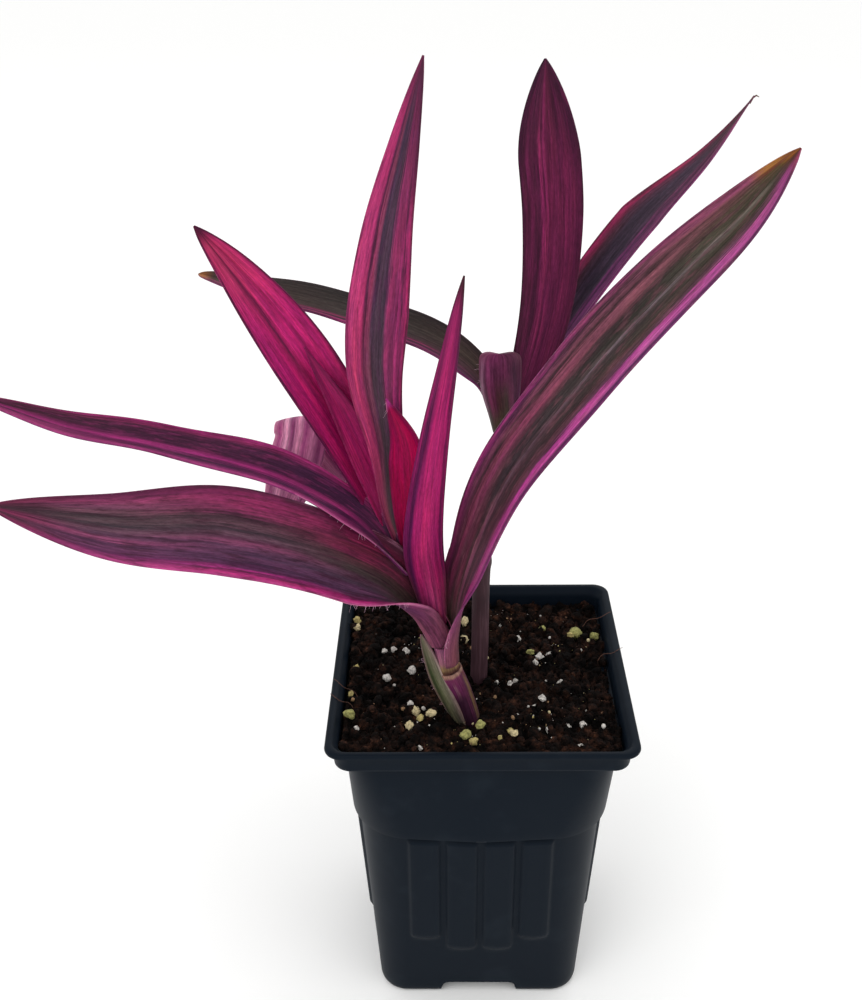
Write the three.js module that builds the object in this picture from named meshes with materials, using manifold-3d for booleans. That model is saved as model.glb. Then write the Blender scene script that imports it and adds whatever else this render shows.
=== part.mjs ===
// A potted purple tradescantia: two leafy stems in a square, tapered nursery pot full of peat.
// Millimetres, +Z up. The origin is the middle of the pot's underside; -Y is the pot's front.
import * as THREE from "three";
import { mergeVertices } from "three/addons/utils/BufferGeometryUtils.js";
import Module from "manifold-3d";

const wasm = await Module();
wasm.setup();

// ---------------------------------------------------------------- driving dimensions
const POT_WIDTH = 98;          // over the rim's lip
const POT_HEIGHT = 120;
const WALL = 1.4;              // moulded wall
const GAP = 0.3;               // between pieces that touch
const SOIL_LEVEL = 114.2;      // of the peat at the left and in front, 6 mm below the rim
const STEM_RADIUS = 2.6;       // front stem, inside its leaf sheaths
const BACK_STEM_RADIUS = 2.9;
const BLADE_THICKNESS = 0.95;  // at the midrib
const MARGIN_THICKNESS = 0.65; // at the leaf's edge
const TIP_HALF_WIDTH = 0.4;    // a leaf tip is never sharper than this
const LEAF_STEPS = 20;         // along a leaf
const LEAF_ACROSS = 6;         // across a leaf

// ---------------------------------------------------------------- joining and cutting
function toSolid(geometry) {
  const bare = geometry.clone();
  bare.deleteAttribute("normal");
  bare.deleteAttribute("uv");
  const merged = mergeVertices(bare, 1e-4);
  return new wasm.Manifold(new wasm.Mesh({
    numProp: 3,
    vertProperties: new Float32Array(merged.attributes.position.array),
    triVerts: new Uint32Array(merged.index.array),
  }));
}

function toGeometry(solid) {
  const mesh = solid.getMesh();
  const geometry = new THREE.BufferGeometry();
  geometry.setAttribute("position", new THREE.BufferAttribute(mesh.vertProperties, 3));
  geometry.setIndex(new THREE.BufferAttribute(mesh.triVerts, 1));
  geometry.computeVertexNormals();
  return geometry;
}

// The largest body of a cut solid: the scraps that a cut leaves are dropped.
function largestBody(solid) {
  const bodies = solid.decompose();
  bodies.sort((a, b) => b.volume() - a.volume());
  return bodies[0];
}

function boxSolid(sizeX, sizeY, sizeZ, x, y, z) {
  return toSolid(new THREE.BoxGeometry(sizeX, sizeY, sizeZ).translate(x, y, z));
}

function turnedAboutZ(solid, quarterTurns) {
  return solid.rotate([0, 0, 90 * quarterTurns]);
}

// ---------------------------------------------------------------- the pot
const CORNER_STEPS = 6;
const BODY_TOP = 79;         // where the fluted body meets the collar
const BODY_BOTTOM_HALF = 35.4;
const BODY_TOP_HALF = 40.7;

// One ring of a rounded square: corner arcs, and one bulged point at the middle of each side.
function roundedSquareRing(half, corner, bulge) {
  const ring = [];
  for (let side = 0; side < 4; side += 1) {
    const start = (side * Math.PI) / 2;
    const diagonal = start + Math.PI / 4;
    const centreX = (half - corner) * Math.sign(Math.cos(diagonal));
    const centreY = (half - corner) * Math.sign(Math.sin(diagonal));
    for (let step = 0; step <= CORNER_STEPS; step += 1) {
      const angle = start + (step * Math.PI) / 2 / CORNER_STEPS;
      ring.push([centreX + corner * Math.cos(angle), centreY + corner * Math.sin(angle)]);
    }
    const middle = start + Math.PI / 2;
    ring.push([(half + bulge) * Math.cos(middle), (half + bulge) * Math.sin(middle)]);
  }
  return ring;
}

// A turned profile whose rings are squared: each entry is [half width, corner radius, z, bulge].
function squaredTurning(profile) {
  const rings = profile.map(([half, corner, , bulge = 0]) => roundedSquareRing(half, corner, bulge));
  const segments = rings[0].length;
  const points = profile.map(([half, , z]) => new THREE.Vector2(half, z));
  const geometry = new THREE.LatheGeometry(points, segments);
  const position = geometry.attributes.position;
  for (let segment = 0; segment <= segments; segment += 1) {
    for (let level = 0; level < profile.length; level += 1) {
      const onAxis = profile[level][0] === 0;
      const [x, y] = onAxis ? [0, 0] : rings[level][segment % segments];
      position.setXYZ(segment * profile.length + level, x, y, profile[level][2]);
    }
  }
  return geometry;
}

function outwardSolid(geometry) {
  const solid = toSolid(geometry);
  if (solid.volume() >= 0) {
    return solid;
  }
  const flipped = geometry.clone();
  const index = Array.from(flipped.index.array);
  for (let i = 0; i < index.length; i += 3) {
    [index[i + 1], index[i + 2]] = [index[i + 2], index[i + 1]];
  }
  flipped.setIndex(index);
  return toSolid(flipped);
}

const HALF = POT_WIDTH / 2;
const BODY_CORNER = 19;
const BODY_BULGE = 1.4;
const INNER_FLOOR = 2.2;
const INNER_BODY_BOTTOM = BODY_BOTTOM_HALF - WALL;
const INNER_BODY_TOP = BODY_TOP_HALF - WALL;
const SHELF = 112.9;              // inner step where the collar widens into the rim's band
const COLLAR_INNER = 41.8;
const BAND_INNER = 44.8;

const POT_OUTSIDE = [
  [0, 1, 0],
  [BODY_BOTTOM_HALF - 1.4, 9, 0],
  [BODY_BOTTOM_HALF, 10, 2.5],
  [BODY_TOP_HALF, BODY_CORNER, BODY_TOP, BODY_BULGE],
  [42.7, 20, BODY_TOP + 0.8, 1.6],
  [43.4, 9, SHELF - 1.9],
  [46.4, 5.4, SHELF - 1.3],
  [46.4, 5.4, 117.8],
  [HALF, 5.5, 118.2],
  [HALF, 5.5, POT_HEIGHT - 0.4],
  [HALF - 0.4, 5.3, POT_HEIGHT],
  [0, 1, POT_HEIGHT],
];

const POT_INSIDE = [
  [0, 1, INNER_FLOOR],
  [INNER_BODY_BOTTOM, 8.6, INNER_FLOOR],
  [INNER_BODY_TOP, 17.5, BODY_TOP, 1.3],
  [41.2, 18.5, BODY_TOP + 2.4, 1.5],
  [COLLAR_INNER, 8, SHELF - 0.2],
  [BAND_INNER, 4.2, SHELF],
  [45, 4.2, 118],
  [HALF - 2.5, 4.5, POT_HEIGHT],
  [HALF - 2.3, 4.5, POT_HEIGHT + 1],
  [0, 1, POT_HEIGHT + 1],
];

// Four raised flutes on each face, which end on an arc above the pot's foot.
const FLUTE_WIDTH = 10;
const FLUTE_RISE = 1.2;
const FLUTES = [[-18.6, 29], [-6.2, 23.5], [6.2, 23.5], [18.6, 29]];   // [middle, lower end]

function fluteSolid(middle, lowerEnd) {
  const bulge = BODY_BULGE * (1 - Math.abs(middle) / (BODY_TOP_HALF - BODY_CORNER));
  const wallTop = BODY_TOP_HALF + bulge;
  const slope = (wallTop - BODY_BOTTOM_HALF) / (BODY_TOP - 2.5);
  const height = BODY_TOP + 0.4 - lowerEnd;
  const z = lowerEnd + height / 2;
  const box = new THREE.BoxGeometry(FLUTE_WIDTH, 2 * FLUTE_RISE, height);
  box.rotateX(Math.atan(slope));
  box.translate(middle, -(BODY_BOTTOM_HALF + (z - 2.5) * slope), z);
  return toSolid(box);
}

// An arched notch at the middle of each lower edge, with a drain slot in its roof.
const NOTCH = { width: 22, depth: 12, height: 4.4, roof: 1.6 };
const DRAIN = { width: 12, depth: 5 };

function notchRoofSolid(grow) {
  const width = NOTCH.width + 2 * NOTCH.roof + 2 * grow;
  const depth = NOTCH.depth + NOTCH.roof + grow;
  const height = NOTCH.height + NOTCH.roof + grow;
  const inner = INNER_BODY_BOTTOM + 0.4;
  return boxSolid(width, depth, height, 0, -inner + depth / 2, height / 2);
}

function notchSolid() {
  const shape = new THREE.Shape();
  const half = NOTCH.width / 2;
  shape.moveTo(-half - 2, -1);
  shape.lineTo(half + 2, -1);
  shape.lineTo(half, NOTCH.height - 1.4);
  shape.lineTo(half - 2, NOTCH.height);
  shape.lineTo(-half + 2, NOTCH.height);
  shape.lineTo(-half, NOTCH.height - 1.4);
  shape.closePath();
  const cut = new THREE.ExtrudeGeometry(shape, { depth: NOTCH.depth + 4, bevelEnabled: false });
  cut.rotateX(Math.PI / 2);
  cut.translate(0, -BODY_BOTTOM_HALF + NOTCH.depth, 0);
  return toSolid(cut);
}

function drainSolid() {
  const y = -INNER_BODY_BOTTOM + NOTCH.depth / 2;
  return boxSolid(DRAIN.width, DRAIN.depth, 8, 0, y, NOTCH.height + NOTCH.roof / 2);
}

function potSolid() {
  let pot = outwardSolid(squaredTurning(POT_OUTSIDE));
  for (let side = 0; side < 4; side += 1) {
    for (const [middle, lowerEnd] of FLUTES) {
      pot = pot.add(turnedAboutZ(fluteSolid(middle, lowerEnd), side));
    }
  }
  pot = pot.subtract(outwardSolid(squaredTurning(POT_INSIDE)));
  for (let side = 0; side < 4; side += 1) {
    pot = pot.add(turnedAboutZ(notchRoofSolid(0), side));
    pot = pot.subtract(turnedAboutZ(notchSolid(), side));
    pot = pot.subtract(turnedAboutZ(drainSolid(), side));
  }
  return pot;
}

// ---------------------------------------------------------------- the stems
// Points that each stem's middle passes through, from its lower end in the peat to its tip.
const FRONT_STEM_PATH = [
  [-1, -24, 88], [-3.2, -24.4, 111], [-6.6, -25, 126], [-10.2, -25.3, 136], [-11.7, -25, 145],
  [-14.2, -24.3, 155], [-19.6, -22, 168], [-24, -19, 177],
];
const BACK_STEM_PATH = [
  [-0.6, -4, 88], [-0.2, -3.5, 111], [0.2, -3, 131], [0.4, -2.5, 153],
  [1.2, -2, 168], [3.4, -1, 187], [6.8, 0, 205],
];
const STEM_SIDES = 10;
const SLEEVE_INNER = STEM_RADIUS + GAP;
const SLEEVE_OUTER = SLEEVE_INNER + 0.8;
const OLD_SHEATH_HEIGHTS = [109, 135.6];
const LONG_LEAF_SHEATH_HEIGHTS = [136.4, 146];

function vectors(points) {
  return points.map(([x, y, z]) => new THREE.Vector3(x, y, z));
}

function smoothPath(points) {
  return new THREE.CatmullRomCurve3(vectors(points), false, "catmullrom", 0.5);
}

function circleShape(radius) {
  const shape = new THREE.Shape();
  for (let side = 0; side < STEM_SIDES; side += 1) {
    const angle = (2 * Math.PI * side) / STEM_SIDES;
    const x = radius * Math.cos(angle);
    const y = radius * Math.sin(angle);
    if (side === 0) {
      shape.moveTo(x, y);
    } else {
      shape.lineTo(x, y);
    }
  }
  shape.closePath();
  return shape;
}

function rodSolid(points, radius) {
  const geometry = new THREE.ExtrudeGeometry(circleShape(radius), {
    steps: 2 * points.length,
    extrudePath: smoothPath(points),
    bevelEnabled: false,
  });
  return outwardSolid(geometry);
}

// The stretch of a stem's middle between two heights, as points for a rod of its own.
function stemStretch(points, fromZ, toZ) {
  const inside = smoothPath(points).getPoints(150).filter(({ z }) => z >= fromZ && z <= toZ);
  const step = Math.floor((inside.length - 1) / 5);
  return [0, 1, 2, 3, 4, 5].map((i) => inside[i * step].toArray());
}

// A hollow sleeve round the front stem: the closed lower part of a leaf.
function sleeveSolid(fromZ, toZ) {
  const outside = rodSolid(stemStretch(FRONT_STEM_PATH, fromZ, toZ), SLEEVE_OUTER);
  return outside.subtract(rodSolid(FRONT_STEM_PATH, SLEEVE_INNER));
}

// ---------------------------------------------------------------- the leaves
// path: points that the midrib passes through, base first.
// face: where the upper face looks, at even steps from base to tip.
// base, wide: half widths along the leaf's own surface; at: where it is widest, 0 to 1;
// swell: above 1 keeps the blade narrow near its base.
// full, point: how blunt the blade is towards its tip.
// curl: half angle of the trough in radians, curlBase at the base, opening from hold to sheath.
// fold: crease at the midrib in degrees; wave, waves: rise and number of edge waves.
const LEAVES = {
  front_leaf_upper_left: {
    path: [
      [-22.9, -23.5, 171], [-37.9, -22.5, 189.3], [-62, -19, 201.9],
      [-94, -14, 208.5], [-123, -10, 212.9], [-151.5, -5, 220.6],
    ],
    face: [[0.6, -0.4, 0.5], [0.25, -0.35, 0.9], [0.1, -0.3, 0.9]],
    base: 4.4, wide: 7.5, at: 0.34, full: 1.8, point: 0.58,
    curl: 0.5, curlBase: 1.4, sheath: 0.2, fold: 12, wave: 0.5, waves: 3,
    colour: 0x5a2450,
  },
  front_leaf_lower_left: {
    path: [
      [-15.9, -25.2, 146.4], [-18.4, -25.6, 152.5], [-22.4, -27, 160.5], [-32, -30, 172], [-50, -36, 184.5],
      [-74, -45, 196.2], [-102, -54, 203.4], [-131, -60.5, 214],
    ],
    face: [[0.8, -0.3, 0.5], [0.2, -0.6, 0.7], [0, -0.7, 0.7]],
    base: 11.5, wide: 13.5, at: 0.52, full: 1.7, point: 0.81,
    curl: 0.35, curlBase: 2.8, hold: 0.05, sheath: 0.3, fold: 5, wave: 0.6, waves: 2,
    colour: 0x6a2a5a,
  },
  front_leaf_up_left: {
    path: [
      [-25.5, -15.5, 176], [-33, -15, 197], [-43, -14, 218.5],
      [-55.8, -12, 240.3], [-69.5, -7, 258.4], [-81, -4, 272],
    ],
    face: [[0.4, -0.9, 0.2], [0.4, -0.8, 0.4]],
    base: 4, wide: 9.4, at: 0.54, full: 1.9, point: 0.82,
    curl: 0.4, curlBase: 0.9, sheath: 0.2, fold: 8, wave: 0.3, waves: 2,
    colour: 0xb0286c,
  },
  front_leaf_nested: {
    path: [[-26.5, -18, 179], [-32, -17.5, 198], [-40.5, -16, 219], [-51, -14, 239.5]],
    face: [[0.5, -0.8, 0.2], [0.4, -0.8, 0.4]],
    base: 2.5, wide: 5, at: 0.4, full: 1.6, point: 1,
    curl: 0.5, curlBase: 1, sheath: 0.25, fold: 8, wave: 0, waves: 1,
    colour: 0xa01c58,
  },
  front_leaf_tall: {
    path: [
      [-24.5, -20.5, 178], [-27.8, -20, 191], [-28.8, -18, 211], [-31.4, -14, 235],
      [-27.8, -7, 267], [-21.9, -2, 294], [-16.4, 2, 316],
    ],
    face: [[0.2, -1, 0.1], [0.15, -1, 0.2]],
    base: 2, wide: 9, swell: 2, at: 0.5, full: 1.35, point: 0.85,
    curl: 0.4, curlBase: 0.8, sheath: 0.25, fold: 8, wave: 0.4, waves: 2,
    colour: 0x8a3070,
  },
  front_leaf_small: {
    path: [[-20.9, -21.5, 175.5], [-20.9, -22.5, 196.9], [-21.9, -22, 212.9], [-27.8, -19.5, 226]],
    face: [[-0.4, -1, 0.1], [-0.3, -1, 0.2]],
    base: 3.5, wide: 6.1, at: 0.6, full: 1.5, point: 1.1,
    curl: 0.6, curlBase: 1.2, sheath: 0.3, fold: 10, wave: 0, waves: 1,
    colour: 0xb8155e,
  },
  front_leaf_narrow: {
    path: [
      [-14, -28.4, 153], [-15.6, -30, 165], [-17.6, -32, 181], [-16.9, -34, 197],
      [-13.9, -36.5, 221], [-10.1, -37, 242], [-6.8, -35.5, 267.5],
    ],
    face: [[0, 1, -0.2], [0, 1, 0.1]],
    base: 5.6, wide: 7, at: 0.18, full: 1.05, point: 0.72,
    curl: 0.8, curlBase: 1.7, sheath: 0.3, fold: 10, wave: 0, waves: 1,
    colour: 0xc0307c,
  },
  front_leaf_long_right: {
    path: [
      [-7.6, -25.6, 140], [-7.7, -26.6, 151], [-4.8, -29, 172], [7.3, -32, 207.5],
      [27, -34, 238], [46.9, -36, 263.9], [65, -35, 283.5], [77, -34, 299],
    ],
    face: [[-0.8, -0.3, 0.2], [-0.6, -0.6, 0.5], [-0.5, -0.7, 0.5]],
    sleeve: LONG_LEAF_SHEATH_HEIGHTS, base: 7, wide: 11.1, at: 0.5, full: 3.6, point: 0.85,
    curl: 0.4, curlBase: 1.9, sheath: 0.22, fold: 6, wave: 0.4, waves: 3,
    colour: 0x5a3444,
  },
  front_leaf_arching: {
    path: [
      [-27, -14.5, 174], [-37, 0, 182], [-47, 11, 191], [-54, 14, 200.7], [-55.8, 8.5, 207.3],
      [-56.2, 1.5, 203.8], [-59, -1.5, 192], [-63.3, -3, 180], [-66.6, -4, 170],
    ],
    face: [[0.8, -0.3, 0.5], [0.5, -0.7, 0.5], [0.2, -1, 0.1], [0, 0, -1], [0, 1, -0.1], [0, 1, -0.1]],
    base: 3.5, wide: 8.4, at: 0.65, full: 2.4, point: 0.9,
    curl: 0.3, curlBase: 1.2, sheath: 0.2, fold: 4, wave: 0, waves: 1,
    colour: 0xb080a0,
  },
  back_leaf_upright: {
    path: [[8, -1, 205.5], [14.5, 1, 225], [19, 4, 247], [20, 8, 271], [18, 12, 294], [17, 14, 313]],
    face: [[-0.1, -1, 0.2], [0, -1, 0.2]],
    base: 4.5, wide: 9, at: 0.75, full: 1.8, point: 0.87,
    curl: 0.4, curlBase: 1.6, sheath: 0.25, fold: 8, wave: 0.4, waves: 2,
    colour: 0x5a1c45,
  },
  back_leaf_right: {
    path: [[9.5, 2.5, 206], [18.5, 6.5, 225], [31.6, 13, 244.3], [49.9, 23, 265.1], [67.5, 31, 281.6], [81.4, 38, 298]],
    face: [[-0.7, -0.5, 0.3], [-0.5, -0.5, 0.65]],
    base: 4.5, wide: 8.2, at: 0.6, full: 1.1, point: 1.4,
    curl: 0.5, curlBase: 1.6, sheath: 0.2, fold: 14, wave: 0.3, waves: 2,
    colour: 0x4a2448,
  },
  back_leaf_left: {
    path: [[4.5, 4, 208], [-1.5, 8, 221.3], [-17, 12, 231.2], [-45, 17, 239.2], [-70, 22, 244], [-87.3, 26, 248.2]],
    face: [[0.6, -0.4, 0.4], [0.15, -0.35, 0.9], [0.1, -0.3, 0.9]],
    base: 3.6, wide: 7.6, at: 0.3, full: 2.8, point: 0.6,
    curl: 0.5, curlBase: 1.6, sheath: 0.2, fold: 10, wave: 0.3, waves: 3,
    colour: 0x3a3833,
  },
  back_leaf_cupped: {
    path: [[6.6, -4.3, 207], [6.1, -5.6, 215], [5.1, -6.6, 224], [4.8, -6, 234.1]],
    face: [[0, 1, 0.1], [0.1, 1, 0.2]],
    base: 4.3, wide: 8.1, at: 0.8, full: 4, point: 0.35,
    curl: 1.3, curlBase: 1.5, sheath: 0.5, fold: 0, wave: 0, waves: 1,
    colour: 0x6a3058,
  },
};

function smoothstep(from, to, x) {
  return THREE.MathUtils.smoothstep(x, from, to);
}

function halfWidth(leaf, s) {
  if (s < leaf.at) {
    const growth = Math.sin((Math.PI / 2) * (s / leaf.at));
    return leaf.base + (leaf.wide - leaf.base) * Math.pow(growth, leaf.swell ?? 1);
  }
  const u = (s - leaf.at) / (1 - leaf.at);
  const fall = Math.pow(Math.max(0, 1 - Math.pow(u, leaf.full)), leaf.point);
  return Math.max(TIP_HALF_WIDTH, leaf.wide * fall);
}

// Places a point of the leaf: s from base to tip, v from edge to edge, side +1 on the upper face.
function leafPoint(leaf, curve, s, v, side, grow) {
  const middle = curve.getPointAt(s);
  const along = curve.getTangentAt(s).normalize();
  const faces = vectors(leaf.face);
  const place = s * (faces.length - 1);
  const step = Math.min(Math.floor(place), faces.length - 2);
  const up = faces[step].clone().lerp(faces[step + 1], smoothstep(0, 1, place - step));
  up.addScaledVector(along, -up.dot(along)).normalize();
  const across = along.clone().cross(up);
  const width = halfWidth(leaf, s) + grow;
  const open = smoothstep(leaf.hold ?? 0, leaf.sheath, s);
  const curl = leaf.curlBase + (leaf.curl - leaf.curlBase) * open;
  const crease = THREE.MathUtils.degToRad(leaf.fold) * smoothstep(0.02, 0.3, s);
  const arcAcross = (width * Math.sin(curl * v)) / curl;
  const fromCrease = Math.sqrt(arcAcross * arcAcross + 0.25) - 0.5;
  const phase = v > 0 ? 0.7 : 2.2;
  const ripple = Math.sin(2 * Math.PI * leaf.waves * s + phase) * smoothstep(0, 0.3, s);
  const rise = (width * (1 - Math.cos(curl * v))) / curl
    + Math.tan(crease) * fromCrease
    + leaf.wave * v * v * ripple * (halfWidth(leaf, s) / leaf.wide);
  const slope = curl * v + crease * Math.sign(v);
  const thickness = BLADE_THICKNESS + (MARGIN_THICKNESS - BLADE_THICKNESS) * Math.abs(v) + 2 * grow;
  const offset = (side * thickness) / 2;
  return middle
    .addScaledVector(across, arcAcross * Math.cos(crease) - offset * Math.sin(slope))
    .addScaledVector(up, rise + offset * Math.cos(slope));
}

// A closed blade: two bent sheets, split into triangles alike, and a strip round their edge.
function bladeSolid(leaf, grow = 0) {
  const curve = smoothPath(leaf.path);
  curve.arcLengthDivisions = 400;
  const columns = LEAF_ACROSS + 1;
  const rows = LEAF_STEPS + 1;
  const sheet = new THREE.PlaneGeometry(2, 1, LEAF_ACROSS, LEAF_STEPS);
  const count = columns * rows;
  const positions = new Float32Array(2 * count * 3);
  for (let i = 0; i < count; i += 1) {
    const v = sheet.attributes.position.getX(i);
    const s = sheet.attributes.position.getY(i) + 0.5;
    leafPoint(leaf, curve, s, v, 1, grow).toArray(positions, 3 * i);
    leafPoint(leaf, curve, s, v, -1, grow).toArray(positions, 3 * (i + count));
  }
  const index = [];
  for (let t = 0; t < sheet.index.count; t += 3) {
    const [a, b, c] = [0, 1, 2].map((corner) => sheet.index.getX(t + corner));
    index.push(a, b, c);
    index.push(a + count, c + count, b + count);
  }
  const rim = [];
  for (let i = 0; i < columns; i += 1) rim.push(i);
  for (let j = 1; j < rows; j += 1) rim.push(j * columns + columns - 1);
  for (let i = columns - 2; i >= 0; i -= 1) rim.push((rows - 1) * columns + i);
  for (let j = rows - 2; j > 0; j -= 1) rim.push(j * columns);
  for (let i = 0; i < rim.length; i += 1) {
    const a = rim[i];
    const b = rim[(i + 1) % rim.length];
    index.push(a, b, a + count);
    index.push(b, b + count, a + count);
  }
  const geometry = new THREE.BufferGeometry();
  geometry.setAttribute("position", new THREE.BufferAttribute(positions, 3));
  geometry.setIndex(index);
  return outwardSolid(geometry);
}

// ---------------------------------------------------------------- the sheaths
// The short striped flap that is left of the oldest leaf.
const OLD_FLAP = {
  path: [[-5.6, -27.2, 112], [-10.2, -28, 123], [-14.2, -27.8, 133], [-16.9, -27, 142.4], [-18.8, -26, 149]],
  face: [[0.5, 0.85, -0.1], [0.4, 0.9, -0.1]],
  base: 2.8, wide: 3.1, at: 0.45, full: 2, point: 0.7,
  curl: 0.7, curlBase: 0.9, sheath: 0.5, fold: 0, wave: 0, waves: 1,
};

// ---------------------------------------------------------------- the soil
const SOIL_GRID = 24;
const SOIL_FALL = 3.2;         // the peat falls away to the back right corner
const STEM_DIP = 1.5;          // and is lower round the back stem
const CLUMP_RISE = 1.2;

// The largest perlite grains and beads that lie on the peat: [x, y, radius].
const GRAINS = [
  [-3.8, 30.3, 1.7], [-5.4, 20.8, 1.7], [-22.8, -1.5, 1.4], [-31.1, -6, 1.3], [-31.1, 11.3, 1.1],
  [-25.5, 11.2, 1], [-20.3, -26.2, 1.5], [-22.5, -29.7, 1.4], [-16.1, -25.7, 1.6], [-0.4, -31.8, 1.1],
  [-4.3, -36.7, 1.3], [10.3, -34.8, 1], [-40.4, -25.1, 1.3], [23.4, 30.1, 1.5], [35, 30, 2.2],
  [40, 26.2, 1.5], [18, 14, 1.4],
];

function soilTop(x, y) {
  const broad = Math.sin(0.09 * x + 0.9) * Math.cos(0.08 * y + 1.5);
  const clumps = Math.sin(0.31 * x + 0.17 * y) * Math.sin(0.27 * y - 0.12 * x + 2);
  const crumbs = Math.sin(0.83 * x + 0.4 * y + 1) * Math.sin(0.71 * y - 0.3 * x);
  const relief = 0.35 * broad + 0.4 * clumps + 0.3 * crumbs;
  const fall = SOIL_FALL * smoothstep(-30, 60, x + y);
  const dip = STEM_DIP * Math.exp(-(x * x + (y + 4) * (y + 4)) / 150);
  return SOIL_LEVEL - fall - dip + CLUMP_RISE * relief;
}

// What the pot could hold, filled to just under its rim, GAP clear of the walls all round.
const SOIL_FILL = [
  [0, 1, INNER_FLOOR + GAP],
  [INNER_BODY_BOTTOM - GAP, 8.3, INNER_FLOOR + GAP],
  [INNER_BODY_TOP - GAP, 17.2, BODY_TOP, 1.2],
  [41.2 - GAP, 18.2, BODY_TOP + 2.6, 1.4],
  [COLLAR_INNER - GAP, 7.7, SHELF],
  [COLLAR_INNER - GAP, 7.7, SHELF + GAP],
  [BAND_INNER - GAP, 3.9, SHELF + GAP],
  [BAND_INNER - GAP, 3.9, POT_HEIGHT - 2],
  [0, 1, POT_HEIGHT - 2],
];

function soilSolid(stems) {
  const block = new THREE.BoxGeometry(POT_WIDTH, POT_WIDTH, POT_HEIGHT, SOIL_GRID, SOIL_GRID, 1);
  const { position } = block.attributes;
  for (let i = 0; i < position.count; i += 1) {
    if (position.getZ(i) > 0) {
      position.setZ(i, soilTop(position.getX(i), position.getY(i)));
    }
  }
  let soil = outwardSolid(squaredTurning(SOIL_FILL)).intersect(toSolid(block));
  for (let turn = 0; turn < 4; turn += 1) {
    soil = soil.subtract(turnedAboutZ(notchRoofSolid(GAP), turn));
  }
  for (const [x, y, radius] of GRAINS) {
    const grain = new THREE.IcosahedronGeometry(radius, 0);
    grain.rotateZ(x);
    grain.rotateX(y);
    grain.translate(x, y, soilTop(x, y) + 0.3 * radius);
    soil = soil.add(toSolid(grain));
  }
  for (const stem of stems) {
    soil = soil.subtract(stem);
  }
  return largestBody(soil);
}

// ---------------------------------------------------------------- putting it together
const group = new THREE.Group();

function addPiece(name, solid, colour, roughness) {
  const material = new THREE.MeshStandardMaterial({ color: colour, roughness, metalness: 0 });
  const mesh = new THREE.Mesh(toGeometry(solid.simplify(0.01)), material);
  mesh.name = name;
  group.add(mesh);
}

addPiece("pot", potSolid(), 0x262b32, 0.42);
addPiece("front_stem", rodSolid(FRONT_STEM_PATH, STEM_RADIUS), 0xa05078, 0.5);
addPiece("back_stem", rodSolid(BACK_STEM_PATH, BACK_STEM_RADIUS), 0x5a3a44, 0.55);

// Grown copies of the pieces made so far: each later piece is cut clear of them.
const frontStemRoom = rodSolid(FRONT_STEM_PATH, SLEEVE_INNER);
const backStemRoom = rodSolid(BACK_STEM_PATH, BACK_STEM_RADIUS + GAP);
const oldSheathRoom = rodSolid(stemStretch(FRONT_STEM_PATH, ...OLD_SHEATH_HEIGHTS), SLEEVE_OUTER + GAP);
const rooms = [frontStemRoom, backStemRoom, oldSheathRoom, bladeSolid(OLD_FLAP, GAP)];

const oldFlap = bladeSolid(OLD_FLAP).subtract(frontStemRoom);
addPiece("front_old_sheath", largestBody(sleeveSolid(...OLD_SHEATH_HEIGHTS).add(oldFlap)), 0x7c5a62, 0.5);
addPiece("soil", soilSolid(rooms), 0x1f1613, 0.95);

for (const [name, leaf] of Object.entries(LEAVES)) {
  let blade = bladeSolid(leaf);
  if (leaf.sleeve) {
    blade = blade.add(sleeveSolid(...leaf.sleeve));
  }
  for (const room of rooms) {
    blade = blade.subtract(room);
  }
  addPiece(name, largestBody(blade), leaf.colour, 0.45);
  rooms.push(bladeSolid(leaf, GAP));
}

export default group;
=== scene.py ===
"""A potted tradescantia on a pale studio floor. Metres, +Z up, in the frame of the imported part."""
import math

import bpy
import numpy as np
from mathutils import Matrix, Vector


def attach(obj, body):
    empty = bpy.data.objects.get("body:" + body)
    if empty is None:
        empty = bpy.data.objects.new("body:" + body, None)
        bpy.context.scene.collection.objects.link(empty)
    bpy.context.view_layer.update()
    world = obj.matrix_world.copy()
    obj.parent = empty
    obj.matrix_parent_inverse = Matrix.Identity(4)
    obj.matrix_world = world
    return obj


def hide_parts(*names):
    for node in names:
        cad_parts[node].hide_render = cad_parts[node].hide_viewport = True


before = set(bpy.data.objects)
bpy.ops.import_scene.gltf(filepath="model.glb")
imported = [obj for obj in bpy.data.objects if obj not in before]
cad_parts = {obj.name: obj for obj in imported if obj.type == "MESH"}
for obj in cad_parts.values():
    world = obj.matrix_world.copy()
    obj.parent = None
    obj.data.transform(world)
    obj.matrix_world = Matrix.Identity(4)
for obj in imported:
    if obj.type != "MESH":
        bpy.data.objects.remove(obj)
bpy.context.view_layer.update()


# ---------------- nursery pot
# A square, tapered growing pot. One injection moulding in blue-black polypropylene, about 1.4 mm
# thick, with a turned-out lip, a bulged collar and flutes that stiffen each face.
MM = 0.001
FLUTE_RISE = 1.2
FLUTES = [(-18.6, 29.0), (-6.2, 23.5), (6.2, 23.5), (18.6, 29.0)]  # middle and lower end, mm
FLUTE_HALF_WIDTH = 5
FLUTE_TOP = (77.2, 78.8)  # where the flutes fade out under the collar
FLUTE_SHOULDER = (4.3, 5.7)  # from a flute's middle: where its side starts to fall and where it ends
NOTCH_HEIGHT = 5.1
BODY_FOOT, LONG_STRETCH = 2.5, 20  # where the fluted body starts; stretches over this get more rings
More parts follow.
